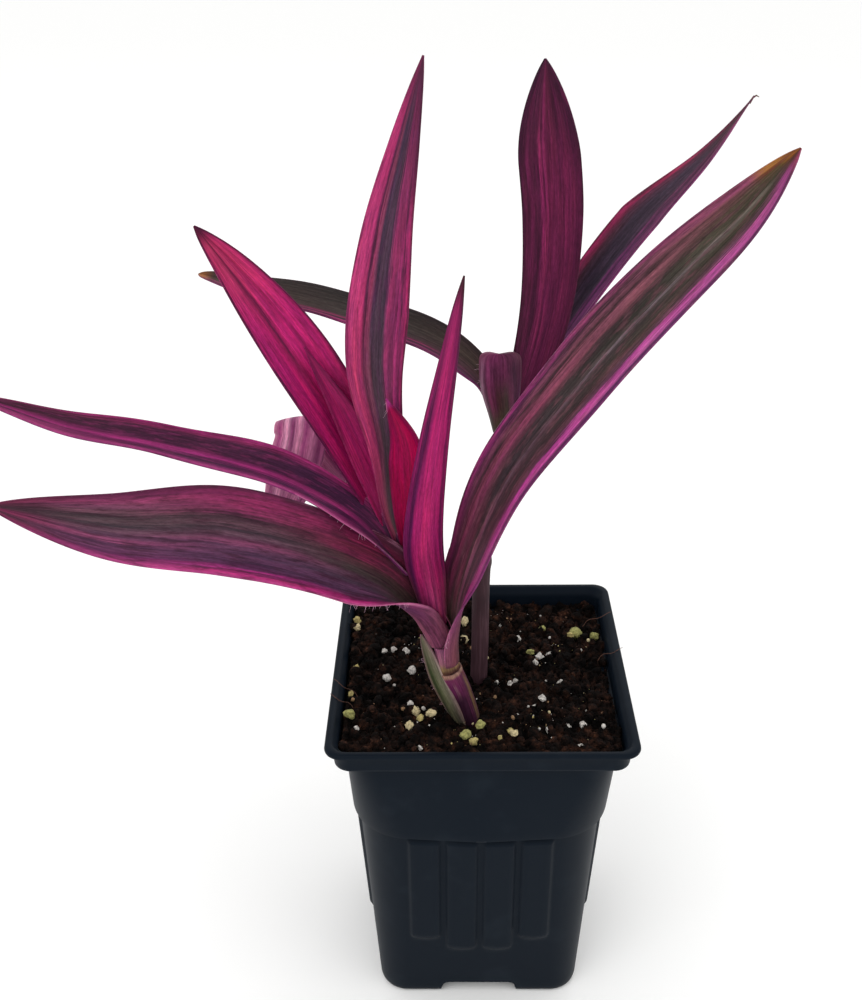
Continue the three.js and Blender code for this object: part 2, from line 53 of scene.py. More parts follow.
# Half width, corner radius, height and bulge of each level, in millimetres: the outside from the
# foot up to the lip, then the inside down to the floor.
POT_LEVELS = [
    (12, 3, 0, 0), (24, 6, 0, 0), (33.6, 8.9, 0, 0), (34.5, 9.4, 0.3, 0), (35.1, 9.8, 1.0, 0),
    (35.4, 10, 2.5, 0), (40.7, 19, 78.6, 1.4), (41.0, 19.2, 79.2, 1.5), (41.9, 19.8, 79.6, 1.6),
    (42.6, 20, 80.1, 1.6), (42.75, 20, 81.0, 1.6), (43.35, 9.4, 110.2, 0.1), (43.5, 9, 110.9, 0),
    (44.4, 8, 111.15, 0), (45.8, 6, 111.4, 0), (46.3, 5.5, 111.8, 0), (46.4, 5.4, 112.6, 0),
    (46.4, 5.4, 117.2, 0), (46.6, 5.4, 117.7, 0), (47.4, 5.4, 118.0, 0), (48.5, 5.5, 118.2, 0),
    (48.9, 5.5, 118.45, 0), (49.0, 5.5, 118.9, 0), (48.95, 5.5, 119.4, 0), (48.75, 5.4, 119.8, 0),
    (48.3, 5.3, 120.0, 0), (47.2, 5.0, 120.0, 0), (46.75, 4.9, 119.85, 0), (46.4, 4.8, 119.4, 0),
    (45.5, 4.5, 118.4, 0), (45.1, 4.3, 117.8, 0), (44.9, 4.2, 116.6, 0), (44.8, 4.2, 113.5, 0),
    (44.6, 4.3, 113.05, 0), (44.1, 4.6, 112.9, 0), (42.7, 6.8, 112.75, 0), (42.0, 7.8, 112.5, 0),
    (41.7, 8.2, 111.9, 0), (41.2, 18.5, 81.4, 1.5), (39.3, 17.5, 79.0, 1.3), (34.4, 9, 6.0, 0),
    (33.4, 8.6, 6.0, 0), (20, 5, 6.0, 0), (8, 2, 6.0, 0),
]
SIDE_TURNS = [(1, 0), (0, 1), (-1, 0), (0, -1)]  # cosine and sine of each quarter turn


def linear(colour):
    """An sRGB hex colour as linear red, green, blue and alpha."""
    parts = [int(colour[i : i + 2], 16) / 255 for i in (1, 3, 5)]
    return [c / 12.92 if c <= 0.04045 else ((c + 0.055) / 1.055) ** 2.4 for c in parts] + [1.0]


def feed(node, inputs):
    """Gives each input a plain value, or links it to a socket or to a node's first output in use."""
    for key, value in inputs.items():
        if isinstance(value, bpy.types.Node):
            value = next(socket for socket in value.outputs if socket.enabled)
        if isinstance(value, bpy.types.NodeSocket):
            node.id_data.links.new(value, node.inputs[key])
        else:
            node.inputs[key].default_value = value


def add_node(tree, kind, inputs=None, **settings):
    """One node with its own settings, then its inputs."""
    made = tree.nodes.new(kind)
    for key, value in settings.items():
        setattr(made, key, value)
    feed(made, inputs or {})
    return made


def new_material(name, surface):
    """A material that has only its shader and output, with the shader's own constants set."""
    material = bpy.data.materials.new(name)
    material.use_nodes = True
    tree = material.node_tree
    tree.nodes.clear()
    shader = add_node(tree, "ShaderNodeBsdfPrincipled", surface)
    add_node(tree, "ShaderNodeOutputMaterial", {"Surface": shader})
    return material, tree, shader


def add_object(name, data):
    """A new object in the scene, at the origin."""
    made = bpy.data.objects.new(name, data)
    bpy.context.scene.collection.objects.link(made)
    return made


def mesh_piece(name, points, faces, material):
    """A new smooth object at the origin, from points in millimetres in the part's frame."""
    mesh = bpy.data.meshes.new(name)
    mesh.from_pydata((np.asarray(points, dtype=float) * MM).tolist(), [], faces)
    mesh.materials.append(material)
    mesh.update()
    mesh.polygons.foreach_set("use_smooth", [True] * len(mesh.polygons))
    return add_object(name, mesh)


def settle(piece, node=None):
    """Puts a piece on the one body, in place of its plain node if it has one."""
    if node:
        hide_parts(node)
    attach(piece, "root")


def ladder_faces(rings, around):
    """Quads between closed rings of points, each ring with the same number of points."""
    ring, i = np.meshgrid(np.arange(rings - 1), np.arange(around), indexing="ij")
    low, nxt = ring * around + i, ring * around + (i + 1) % around
    return np.stack([low, nxt, nxt + around, low + around], axis=-1).reshape(-1, 4).tolist()


def end_faces(rings, around):
    """One flat face over the first ring and one over the last."""
    last_ring = (rings - 1) * around
    return [list(range(around))[::-1], [last_ring + i for i in range(around)]]


def ease(low, high, x):
    """A soft step from 0 at low to 1 at high."""
    t = np.clip((x - low) / (high - low), 0, 1)
    return t * t * (3 - 2 * t)


# Stations along a side, in millimetres from its middle. They lie close at the flutes' shoulders.
flute_edges = [
    abs(abs(middle) + side) for middle, _ in FLUTES[:2] for side in (-FLUTE_HALF_WIDTH, FLUTE_HALF_WIDTH)
]
side_stations = sorted(
    {0.0, 3.5, 6.2, 8.9, 12.4, 16.0, 18.6, 21.2, 24.8}
    | {round(edge + step, 2) for edge in flute_edges for step in (-0.75, -0.25, 0.25, 0.75)}
)


def squared_ring(half, corner, bulge, corner_steps=16):
    """One level of a rounded square: stations along each side, then steps round each corner."""
    straight = half - corner
    scale = min(1.0, (straight + corner * 0.5) / side_stations[-1]) if half < 36 else 1.0
    stations = [t * scale for t in side_stations]

    def reach(t):
        over = min(max(0.0, abs(t) - straight), corner)
        return straight + math.sqrt(corner * corner - over * over) + bulge * max(0, 1 - abs(t) / straight)

    last = stations[-1]
    turn = [(t, reach(t)) for t in np.linspace(last, straight, 8)] if last < straight else []
    start = math.asin(min(1.0, max(0.0, last - straight) / corner))
    turn += [
        (straight + corner * math.sin(angle), straight + corner * math.cos(angle))
        for angle in np.linspace(start, math.pi / 4, 24)
    ]
    turn = np.array(turn)
    steps = np.linalg.norm(np.diff(turn, axis=0), axis=1)
    steps[-23:] *= 1 + 20 / corner  # the arc gets finer steps than the straight
    length = np.concatenate([[0], np.cumsum(steps)])
    even = np.linspace(0, length[-1], corner_steps + 1)[1:]
    turn = list(zip(np.interp(even, length, turn[:, 0]), np.interp(even, length, turn[:, 1])))
    side = [(-t, out) for t, out in turn[::-1]]
    side += [(-t, reach(t)) for t in stations[:0:-1]] + [(t, reach(t)) for t in stations]
    side += turn[:-1]
    return [(t * c + out * s, t * s - out * c) for c, s in SIDE_TURNS for t, out in side]


def flute_height(t, z):
    """How far the flutes lift a face at t along it and z up it."""
    lift = 0.0
    for middle, lower_end in FLUTES:
        aside = abs(t - middle)
        end = lower_end + 1.5 * min(aside / FLUTE_HALF_WIDTH, 1) ** 2
        rise = ease(end - 1.2, end + 2.2, z) * (1 - ease(*FLUTE_TOP, z))
        lift = max(lift, (1 - ease(*FLUTE_SHOULDER, aside)) * rise)
    return FLUTE_RISE * lift


body_heights = [2.5, 5, 8, 12, 16, 19, 21, *np.arange(22, 34, 0.8), *np.arange(35, 76, 4), 76.6, 77.4, 78]
pot_points = []
ring_count = 0
for low, high in zip(POT_LEVELS, POT_LEVELS[1:] + POT_LEVELS[-1:]):
    low, high = np.array(low, float), np.array(high, float)
    tall = high[2] - low[2]
    body = low[2] == BODY_FOOT
    shares = [(z - low[2]) / tall for z in body_heights] if body else [0]
    if abs(tall) > LONG_STRETCH and not body:
        shares = np.linspace(0, 1, 12, endpoint=False)
    for share in shares:
        half, corner, z, bulge = low + share * (high - low)
        ring = squared_ring(half, corner, bulge)
        around = len(ring)
        for i, (x, y) in enumerate(ring):
            c, s = SIDE_TURNS[i * 4 // around]
            lift = flute_height(x * c + y * s, z) if body else 0
            pot_points.append((x + lift * s, y - lift * c, z))
        ring_count += 1
pot_faces = ladder_faces(ring_count, around) + end_faces(ring_count, around)

# Moulded polypropylene gives a satin, slightly blue skin with a fine moulded grain of about 0.4 mm,
# greyed in patches of about 12 mm by dust from the potting bench.
pot_plastic, tree, shader = new_material(
    "moulded_blue_black_polypropylene", {"Roughness": 0.42, "IOR": 1.49, "Specular IOR Level": 0.06}
)
place = add_node(tree, "ShaderNodeTexCoord").outputs["Object"]
dust = add_node(tree, "ShaderNodeTexNoise", {"Scale": 80, "Detail": 6, "Vector": place})
dusty = add_node(
    tree, "ShaderNodeMapRange", {"Value": dust, "From Min": 0.55, "From Max": 0.8, "To Max": 0.3}
)
skin = add_node(
    tree,
    "ShaderNodeMix",
    {"Factor": dusty, "A": linear("#0d151e"), "B": linear("#222a32")},
    data_type="RGBA",
)
grain = add_node(tree, "ShaderNodeTexNoise", {"Scale": 2500, "Vector": place})
grain_bump = add_node(tree, "ShaderNodeBump", {"Strength": 0.15, "Distance": 0.0001, "Height": grain})
feed(shader, {"Base Color": skin, "Normal": grain_bump})

nursery_pot = mesh_piece("nursery_pot", pot_points, pot_faces, pot_plastic)

# Four notches under the foot, each with a drain slot in its roof.
notch_outline = [(-14, -1), (14, -1), (13, 2.8), (12.6, 4), (11.8, 4.8), (10.6, NOTCH_HEIGHT)]
notch_outline += [(-10.6, NOTCH_HEIGHT), (-11.8, 4.8), (-12.6, 4), (-13, 2.8)]
slot_outline = [(-6, 1), (6, 1), (6, 9), (-6, 9)]
for quarter in range(4):
    for outline, near, far in ((notch_outline, 23, 40), (slot_outline, 25.5, 30.5)):
        count = len(outline)
        prism = [(x, -near, z) for x, z in outline] + [(x, -far, z) for x, z in outline]
        prism_faces = ladder_faces(2, count) + end_faces(2, count)
        cutter = mesh_piece("cutter", prism, prism_faces, pot_plastic)
        cutter.data.transform(Matrix.Rotation(quarter * math.pi / 2, 4, "Z"))
        boolean = nursery_pot.modifiers.new("cut", "BOOLEAN")
        boolean.operation = "DIFFERENCE"
        boolean.solver = "EXACT"
        boolean.object = cutter
        depsgraph = bpy.context.evaluated_depsgraph_get()
        cut_mesh = bpy.data.meshes.new_from_object(nursery_pot.evaluated_get(depsgraph))
        nursery_pot.modifiers.clear()
        nursery_pot.data = cut_mesh
        bpy.data.objects.remove(cutter)
nursery_pot.data.set_sharp_from_angle(angle=math.radians(45))
settle(nursery_pot, "pot")


# ---------------- potting peat
# Dark sphagnum peat, pressed in by hand. It reaches the lip on the left and has sunk at the back
# right, where the pot's inner ledge shows. The stems stand in it.
SOIL_LEVEL = 114.2
PEAT_RINGS = 100
PEAT_HALF = 44.6
HIGHEST_LUMP = 118.5
LEDGE = 113.4  # the pot's inner ledge, which the peat passes under where it has sunk
LEDGE_INSIDE, BARE_EDGE = 41, 43.8  # half widths: where the ledge begins, and past which no crumbs lie
peat_rng = np.random.default_rng(7)
WAVES = [(peat_rng.uniform(0.5, 2.6), peat_rng.uniform(0, math.tau, 3)) for _ in range(14)]


def peat_top(x, y):
    """Height of the peat: it falls away to the back right and is lower round both stems."""
    broad = np.sin(0.09 * x + 0.9) * np.cos(0.08 * y + 1.5)
    clumps = np.sin(0.31 * x + 0.17 * y) * np.sin(0.27 * y - 0.12 * x + 2)
    lumps = np.sin(0.83 * x + 0.4 * y + 1) * np.sin(0.71 * y - 0.3 * x)
    relief = 0.35 * broad + 0.4 * clumps + 0.3 * lumps
    dip = 1.5 * np.exp(-(x * x + (y + 4) * (y + 4)) / 150)
    dip = dip + 2.8 * np.exp(-((x + 2) ** 2 + (y + 27) ** 2) / 26)
    return SOIL_LEVEL - 3.2 * ease(-30, 60, x + y) - dip + 1.2 * relief


def crumble(x, y):
    """Small lumps of half a millimetre to two, on top of the broad relief."""
    height = 0
    for pitch, (heading, phase_a, phase_b) in WAVES:
        along = x * math.cos(heading) + y * math.sin(heading)
        beside = y * math.cos(heading) - x * math.sin(heading)
        height = height + np.abs(np.sin(pitch * along + phase_a) * np.sin(pitch * beside + phase_b)) / pitch
    return 0.75 * (height - 1.6)


def set_stops(ramp, text):
    """Fills a colour ramp. Each colour has its percentage before it, or else all are spread evenly."""
    stops = [word.split("#") for word in text.split()]
    while len(ramp.elements) < len(stops):
        ramp.elements.new(0.5)
    for i, (element, (percent, colour)) in enumerate(zip(ramp.elements, stops)):
        element.position = float(percent) / 100 if percent else i / (len(stops) - 1)
        element.color = linear("#" + colour)


peat_points, open_peat = [], []
for half in PEAT_HALF * np.linspace(0.012, 1, PEAT_RINGS):
    ring = np.array(squared_ring(half, max(0.2 * half, 3.9 * half / PEAT_HALF), 0))
    x, y = ring[:, 0], ring[:, 1]
    out = np.maximum(np.abs(x), np.abs(y))
    z = peat_top(x, y) + crumble(x, y) * (1 - ease(PEAT_HALF - 1, PEAT_HALF, out))
    under_ledge = (out > LEDGE_INSIDE + 0.5) & (z < LEDGE)
    z = np.where(under_ledge, LEDGE - 1.2, np.minimum(z, HIGHEST_LUMP))
    peat_points += list(zip(x, y, z))
    covered = (out > LEDGE_INSIDE) & (z < LEDGE + 0.2) | (out > BARE_EDGE)
    open_peat += list(np.where(covered, 0.0, 1.0))
BURIED = [(44.4, 4.2, 112.1), (41.2, 8, 112.0), (40.6, 18, 81), (38.9, 17, 79), (34, 8.6, 6.3)]
for half, corner, z in BURIED:
    peat_points += [(x, y, z) for x, y in squared_ring(half, corner, 0)]
    open_peat += [0.0] * around
ring_count = PEAT_RINGS + len(BURIED)
peat_faces = ladder_faces(ring_count, around) + end_faces(ring_count, around)

# Milled peat gives a matt, nearly black ground with red-brown bits of 1 to 4 mm and finer crumbs,
# darker where it is damp, in patches of about 12 mm.
peat, tree, shader = new_material(
    "milled_sphagnum_peat", {"Roughness": 0.95, "IOR": 1.4, "Specular IOR Level": 0.12}
)
place = add_node(tree, "ShaderNodeTexCoord").outputs["Object"]
bits = add_node(tree, "ShaderNodeTexNoise", {"Scale": 300, "Detail": 8, "Roughness": 0.7, "Vector": place})
peat_ramp = add_node(tree, "ShaderNodeValToRGB", {"Fac": bits})
set_stops(peat_ramp.color_ramp, "34#050404 48#110b09 58#281812 70#4c3022")
crumbs = add_node(tree, "ShaderNodeTexNoise", {"Scale": 1100, "Detail": 6, "Vector": place})
peat_bump = add_node(tree, "ShaderNodeBump", {"Strength": 0.9, "Distance": 0.0009, "Height": crumbs})
damp = add_node(tree, "ShaderNodeTexNoise", {"Scale": 85, "Detail": 4, "Vector": place})
dryness = add_node(
    tree,
    "ShaderNodeMapRange",
    {"Value": damp, "From Min": 0.38, "From Max": 0.64, "To Min": 0.22, "To Max": 1.5},
)
peat_tone = add_node(tree, "ShaderNodeHueSaturation", {"Color": peat_ramp, "Value": dryness})
feed(shader, {"Base Color": peat_tone, "Normal": peat_bump})

potting_peat = mesh_piece("potting_peat", peat_points, peat_faces, peat)
potting_peat.data.flip_normals()
potting_peat.data.attributes.new("open_peat", "FLOAT", "POINT").data.foreach_set("value", open_peat)
settle(potting_peat, "soil")


# ---------------- peat crumbs
# Loose crumbs of peat and bark, 0.4 to 5 mm across, which lie on the pressed peat. They are scattered
# over it from a fixed seed and half sunk.
def new_tree(name, numbers, counts):
    """A Geometry Nodes tree. Its inputs: Geometry, Material, and the named numbers and whole counts."""
    tree = bpy.data.node_groups.new(name, "GeometryNodeTree")
    inputs = [("Geometry", "Geometry"), ("Material", "Material")]
    inputs += [(label, "Float") for label in numbers] + [(label, "Int") for label in counts]
    for label, kind in inputs:
        tree.interface.new_socket(label, in_out="INPUT", socket_type="NodeSocket" + kind)
    tree.interface.new_socket("Geometry", in_out="OUTPUT", socket_type="NodeSocketGeometry")
    return tree, add_node(tree, "NodeGroupInput").outputs


def close_tree(tree, given, geometry):
    """Gives the tree's result its material and hands it out."""
    coated = add_node(tree, "GeometryNodeSetMaterial", {"Geometry": geometry, "Material": given["Material"]})
    add_node(tree, "NodeGroupOutput", {"Geometry": coated})


def dented_balls(tree, given, points, seed, scale, pitch, detail, depth):
    """Nodes for a ball on each point, turned at random, scaled, and dented by a noise of this pitch."""
    ball = add_node(tree, "GeometryNodeMeshIcoSphere", {"Radius": 1.0, "Subdivisions": given["Facets"]})
    spin = add_node(
        tree, "FunctionNodeRandomValue", {1: (math.tau,) * 3, "Seed": seed}, data_type="FLOAT_VECTOR"
    )
    placed = add_node(
        tree,
        "GeometryNodeInstanceOnPoints",
        {"Points": points, "Instance": ball, "Rotation": spin, "Scale": scale},
    )
    real = add_node(tree, "GeometryNodeRealizeInstances", {"Geometry": placed})
    noise = add_node(tree, "ShaderNodeTexNoise", {"Scale": pitch, "Detail": detail})
    centred = add_node(
        tree, "ShaderNodeVectorMath", {0: noise.outputs["Color"], 1: (0.5, 0.5, 0.5)}, operation="SUBTRACT"
    )
    dents = add_node(tree, "ShaderNodeVectorMath", {0: centred, "Scale": depth}, operation="SCALE")
    return add_node(tree, "GeometryNodeSetPosition", {"Geometry": real, "Offset": dents})


def run_tree(name, tree, source_mesh, values, node=None):
    """A plain mesh piece, made by the tree from the source mesh with its named inputs set."""
    source = add_object(name + "_source", source_mesh)
    modifier = source.modifiers.new("grow", "NODES")
    modifier.node_group = tree
    for item in tree.interface.items_tree:
        if item.in_out == "INPUT" and item.name in values:
            modifier[item.identifier] = values[item.name]
    depsgraph = bpy.context.evaluated_depsgraph_get()
    grown = bpy.data.meshes.new_from_object(source.evaluated_get(depsgraph))
    bpy.data.objects.remove(source)
    grown.name = name
    settle(add_object(name, grown), node)


crumb_tree, given = new_tree(
    "scattered_crumbs", ("Density", "Smallest", "Largest", "Flatness"), ("Seed", "Facets")
)
where_open = add_node(crumb_tree, "GeometryNodeInputNamedAttribute", {"Name": "open_peat"}, data_type="FLOAT")
density = add_node(crumb_tree, "ShaderNodeMath", {0: where_open, 1: given["Density"]}, operation="MULTIPLY")
spots = add_node(
    crumb_tree,
    "GeometryNodeDistributePointsOnFaces",
    {"Mesh": given["Geometry"], "Density": density, "Seed": given["Seed"]},
)
crumb_size = add_node(
    crumb_tree,
    "FunctionNodeRandomValue",
    {2: given["Smallest"], 3: given["Largest"], "Seed": given["Seed"]},
    data_type="FLOAT",
)
flat = add_node(crumb_tree, "ShaderNodeCombineXYZ", {"X": 1.0, "Y": 0.75, "Z": given["Flatness"]})
scale = add_node(crumb_tree, "ShaderNodeVectorMath", {0: flat, "Scale": crumb_size}, operation="SCALE")
crumb_balls = dented_balls(crumb_tree, given, spots, given["Seed"], scale, 1300, 2, 0.0012)
close_tree(crumb_tree, given, crumb_balls)
# Crumbs to the square metre, seed, least and greatest radius in metres, and roundness.
for name, per_area, seed, smallest, largest, facets in (
    ("peat_crumbs_fine", 500000.0, 3, 0.0002, 0.0008, 1),
    ("peat_crumbs_coarse", 52000.0, 5, 0.0007, 0.0026, 2),
):
    choices = {
        "Density": per_area, "Seed": seed, "Smallest": smallest, "Largest": largest,
        "Facets": facets, "Flatness": 0.6, "Material": peat,
    }
    run_tree(name, crumb_tree, potting_peat.data, choices)


# ---------------- perlite
# Expanded volcanic glass mixed into the peat: round, porous white and cream grains up to 4.5 mm,
# some green with algae, and many specks under 1 mm.

# Each big grain: place x, y and radius in millimetres, and its colour.
WHITE, CREAM, YELLOW, GREEN = "#c9c4bd", "#cbbb90", "#b3a468", "#9c9a5a"
GRAINS = [
    (-4.2, 28.8, 1.8, CREAM), (-4.6, 17.6, 2.1, CREAM), (-8.1, 20.4, 1.2, CREAM),
    (-22.7, -3.4, 1.6, WHITE), (-31, -7.4, 1.4, WHITE), (-32.7, 9.3, 0.9, WHITE),
    (-29.3, 9.3, 1.1, WHITE), (-25.1, 8.8, 1.3, WHITE), (-21, -23.9, 1.8, CREAM),
    (-22.7, -31.4, 1.6, CREAM), (-16, -27.4, 1.7, CREAM), (-19.5, -28.8, 1.4, YELLOW),
    (-0.4, -33, 1.4, GREEN), (-5.2, -38.2, 1.8, GREEN), (-2.6, -39.3, 1.3, YELLOW),
    (10.2, -37, 1.4, CREAM), (9.2, -34.6, 1.1, YELLOW), (-42.2, -26.9, 1.7, GREEN),
    (-41.6, 1.2, 1.3, YELLOW), (-42.6, -14.3, 1, YELLOW), (23.5, 27.4, 1.8, GREEN),
    (35.3, 23.6, 2.2, GREEN), (33, 20.5, 1.4, YELLOW), (41.6, 21.5, 1.7, GREEN), (18.2, 11, 1.5, GREEN),
    (21.1, 6.7, 1.4, WHITE), (19.6, 4.6, 0.9, WHITE), (25.9, 39.6, 1.3, WHITE), (14.5, 21.2, 1.1, WHITE),
    (5.7, -6.2, 0.9, WHITE), (10.4, -8, 1.1, WHITE), (12.1, -5.5, 0.8, WHITE), (27.3, -5.4, 1.1, WHITE),
    (20.3, -18.8, 1.2, WHITE), (17.4, -20.2, 0.8, WHITE), (2, -17.7, 0.8, WHITE), (11.4, -26, 0.9, WHITE),
    (21.3, -34.1, 1.4, WHITE), (28.1, -30.1, 1.1, WHITE), (32.4, -30.2, 1.1, WHITE),
    (-19.4, -41.7, 0.8, WHITE), (5.8, -37.9, 0.8, YELLOW), (-43, 27.1, 1.3, YELLOW),
    (-42.6, 22.2, 1.4, CREAM), (-39.7, -33, 0.9, WHITE), (24.6, 9.4, 0.8, WHITE),
    (30.8, -41.2, 0.8, WHITE), (-23, -20.8, 0.9, WHITE),
]
CRUMB_COVER = 0.45  # the grains lie on the crumbs, this far above the pressed peat
SPECKS, CLUSTERS = 330, 16

# Perlite is blown glass: matt, chalky, with pores of 0.3 to 0.7 mm. The tint is each grain's own.
perlite, tree, shader = new_material("expanded_perlite", {"Roughness": 0.85, "IOR": 1.5})
place = add_node(tree, "ShaderNodeTexCoord").outputs["Object"]
tint = add_node(tree, "ShaderNodeAttribute", attribute_name="tint")
pores = add_node(tree, "ShaderNodeTexNoise", {"Scale": 1500, "Detail": 5, "Vector": place})
# Painted shade in the pores: the grains are darker where the pore noise sinks the bump, and lighter where it
# lifts it.
pore_painted_shade = add_node(
    tree,
    "ShaderNodeMapRange",
    {"Value": pores, "From Min": 0.35, "From Max": 0.6, "To Min": 0.55, "To Max": 1.1},
)
chalk = add_node(tree, "ShaderNodeHueSaturation", {"Color": tint.outputs["Color"], "Value": pore_painted_shade})
pore_bump = add_node(tree, "ShaderNodeBump", {"Strength": 0.7, "Distance": 0.0004, "Height": pores})
feed(shader, {"Base Color": chalk, "Normal": pore_bump})

grain_tree, given = new_tree("perlite_grains", ("Unevenness",), ("Facets",))
own_size = add_node(
    grain_tree, "GeometryNodeInputNamedAttribute", {"Name": "grain_radius"}, data_type="FLOAT"
)
squash = add_node(
    grain_tree,
    "FunctionNodeRandomValue",
    {0: (0.75, 0.75, 0.65), 1: (1.1, 1.1, 0.95), "Seed": 4},
    data_type="FLOAT_VECTOR",
)
scale = add_node(grain_tree, "ShaderNodeVectorMath", {0: squash, "Scale": own_size}, operation="SCALE")
grain_balls = dented_balls(grain_tree, given, given["Geometry"], 2, scale, 700, 3, given["Unevenness"])
even = add_node(grain_tree, "GeometryNodeSetShadeSmooth", {"Geometry": grain_balls})
close_tree(grain_tree, given, even)


def grain_points(name, grains, lift):
    """A mesh of bare points with each grain's radius and tint. lift is in radii."""
    rows = [(x, y, float(peat_top(x, y) + crumble(x, y)) + CRUMB_COVER + lift * r) for x, y, r, _ in grains]
    mesh = bpy.data.meshes.new(name)
    mesh.from_pydata((np.array(rows) * MM).tolist(), [], [])
    radii = mesh.attributes.new("grain_radius", "FLOAT", "POINT")
    radii.data.foreach_set("value", [r * MM for _, _, r, _ in grains])
    tints = mesh.attributes.new("tint", "FLOAT_COLOR", "POINT")
    tints.data.foreach_set("color", [part for _, _, _, colour in grains for part in linear(colour)])
    return mesh


speck_rng = np.random.default_rng(21)
clusters = speck_rng.uniform(-38, 38, (CLUSTERS, 2))
specks = []
while len(specks) < SPECKS:
    x, y = speck_rng.uniform(-42.5, 42.5, 2)
    if speck_rng.random() < 0.55:
        x, y = clusters[speck_rng.integers(CLUSTERS)] + speck_rng.normal(0, 2.6, 2)
    out = max(abs(x), abs(y))
    if out > LEDGE_INSIDE and peat_top(x, y) < LEDGE + 0.2 or out > BARE_EDGE - 0.8:
        continue
    colour = [WHITE, WHITE, CREAM, YELLOW, "#8a6a4a", "#6a4a34"][speck_rng.integers(6)]
    specks.append((x, y, 0.12 + 0.75 * speck_rng.random() ** 6, colour))
grain_choices = {"Unevenness": 0.0026, "Facets": 3, "Material": perlite}
run_tree("perlite_grains", grain_tree, grain_points("grains", GRAINS, 0.55), grain_choices)
speck_choices = {"Unevenness": 0.0006, "Facets": 2, "Material": perlite}
run_tree("perlite_specks", grain_tree, grain_points("specks", specks, 0.9), speck_choices)


# ---------------- peat fibres
# Sphagnum and root fibres in the peat, reddish brown, 0.1 to 0.3 mm thick and up to 16 mm long.
# They lie on it in loose bends, and a few hang over the lip.
cord_tree, given = new_tree("round_strands", (), ("Sides",))
own_radius = add_node(
    cord_tree, "GeometryNodeInputNamedAttribute", {"Name": "strand_radius"}, data_type="FLOAT"
)
path = add_node(cord_tree, "GeometryNodeMeshToCurve", {"Mesh": given["Geometry"]})
section = add_node(
    cord_tree, "GeometryNodeCurvePrimitiveCircle", {"Radius": 1.0, "Resolution": given["Sides"]}
)
swept = add_node(
    cord_tree,
    "GeometryNodeCurveToMesh",
    {"Curve": path, "Profile Curve": section, "Scale": own_radius, "Fill Caps": True},
)
even = add_node(cord_tree, "GeometryNodeSetShadeSmooth", {"Geometry": swept})
real = add_node(cord_tree, "GeometryNodeRealizeInstances", {"Geometry": even})
close_tree(cord_tree, given, real)


def run_strands(name, strands, sides, material, node=None):
    """Round strands: each is its points and the radius at each, in millimetres."""
    points = np.vstack([line for line, _ in strands])
    radii = np.concatenate([radius for _, radius in strands])
    edges, first = [], 0
    for line, _ in strands:
        edges += [(first + i, first + i + 1) for i in range(len(line) - 1)]
        first += len(line)
    mesh = bpy.data.meshes.new(name + "_paths")
    mesh.from_pydata((points * MM).tolist(), edges, [])
    mesh.attributes.new("strand_radius", "FLOAT", "POINT").data.foreach_set("value", radii * MM)
    run_tree(name, cord_tree, mesh, {"Sides": sides, "Material": material}, node)


# Dried moss fibre is matt and red-brown, paler and darker over lengths of about 17 mm.
fibre_skin, tree, shader = new_material("dried_moss_fibre", {"Roughness": 0.8})
place = add_node(tree, "ShaderNodeTexCoord").outputs["Object"]
tone = add_node(tree, "ShaderNodeTexNoise", {"Scale": 60, "Vector": place})
fibre_colour = add_node(
    tree, "ShaderNodeMix", {"Factor": tone, "A": linear("#2a1812"), "B": linear("#7c4f3c")}, data_type="RGBA"
)
feed(shader, {"Base Color": fibre_colour})

FIBRES_TRIED, FIBRE_POINTS = 460, 9
FIBRE_STEPS = FIBRE_POINTS - 1
FIBRE_REACH = 43.6  # half width that they stay within
fibre_rng = np.random.default_rng(5)
fibres = []
for number in range(FIBRES_TRIED):
    x, y = fibre_rng.uniform(-42, 42, 2)
    if max(abs(x), abs(y)) > LEDGE_INSIDE - 2 and peat_top(x, y) < LEDGE + 0.4:
        continue
    length, heading = fibre_rng.uniform(2, 16), fibre_rng.uniform(0, math.tau)
    bend, lift = fibre_rng.uniform(-0.16, 0.16), fibre_rng.uniform(0.1, 1.4)
    line = []
    for step in range(FIBRE_POINTS):
        line.append((x, y, float(peat_top(x, y)) + 0.15 + lift * math.sin(math.pi * step / FIBRE_STEPS)))
        heading += bend + fibre_rng.normal(0, 0.2)
        x = float(np.clip(x + length / FIBRE_STEPS * math.cos(heading), -FIBRE_REACH, FIBRE_REACH))
        y = float(np.clip(y + length / FIBRE_STEPS * math.sin(heading), -FIBRE_REACH, FIBRE_REACH))
    fibres.append((np.array(line), np.full(FIBRE_POINTS, fibre_rng.uniform(0.05, 0.14))))
# A few stray fibres reach over the lip on the left and at the right.
for x, y, dx, dy in ((38, 26, 10, 2.5), (41, 5, 8.5, 1.5), (-41, -22, -8, 3), (-40, -16, -8.3, 5)):
    line = [
        (x + dx * s, y + dy * s + 0.5 * math.sin(7 * s), 116.4 + 4.2 * s**0.5 + 0.3 * math.sin(9 * s))
        for s in np.linspace(0, 1, FIBRE_POINTS)
    ]
    fibres.append((np.array(line), np.full(FIBRE_POINTS, 0.11)))
run_strands("peat_fibres", fibres, 4, fibre_skin)


# ---------------- front stem
# The short leaning stem of the front shoot: a living, juicy, mauve-pink stalk, swollen at its joint,
# that grows out of the peat just before the middle and carries nine leaves.
FRONT_STEM = [
    (-1, -24, 88), (-3.2, -24.4, 111), (-6.6, -25, 126), (-10.2, -25.3, 136),
    (-11.7, -25, 145), (-14.2, -24.3, 155), (-19.6, -22, 168), (-24, -19, 177), (-26, -17.6, 182),
]


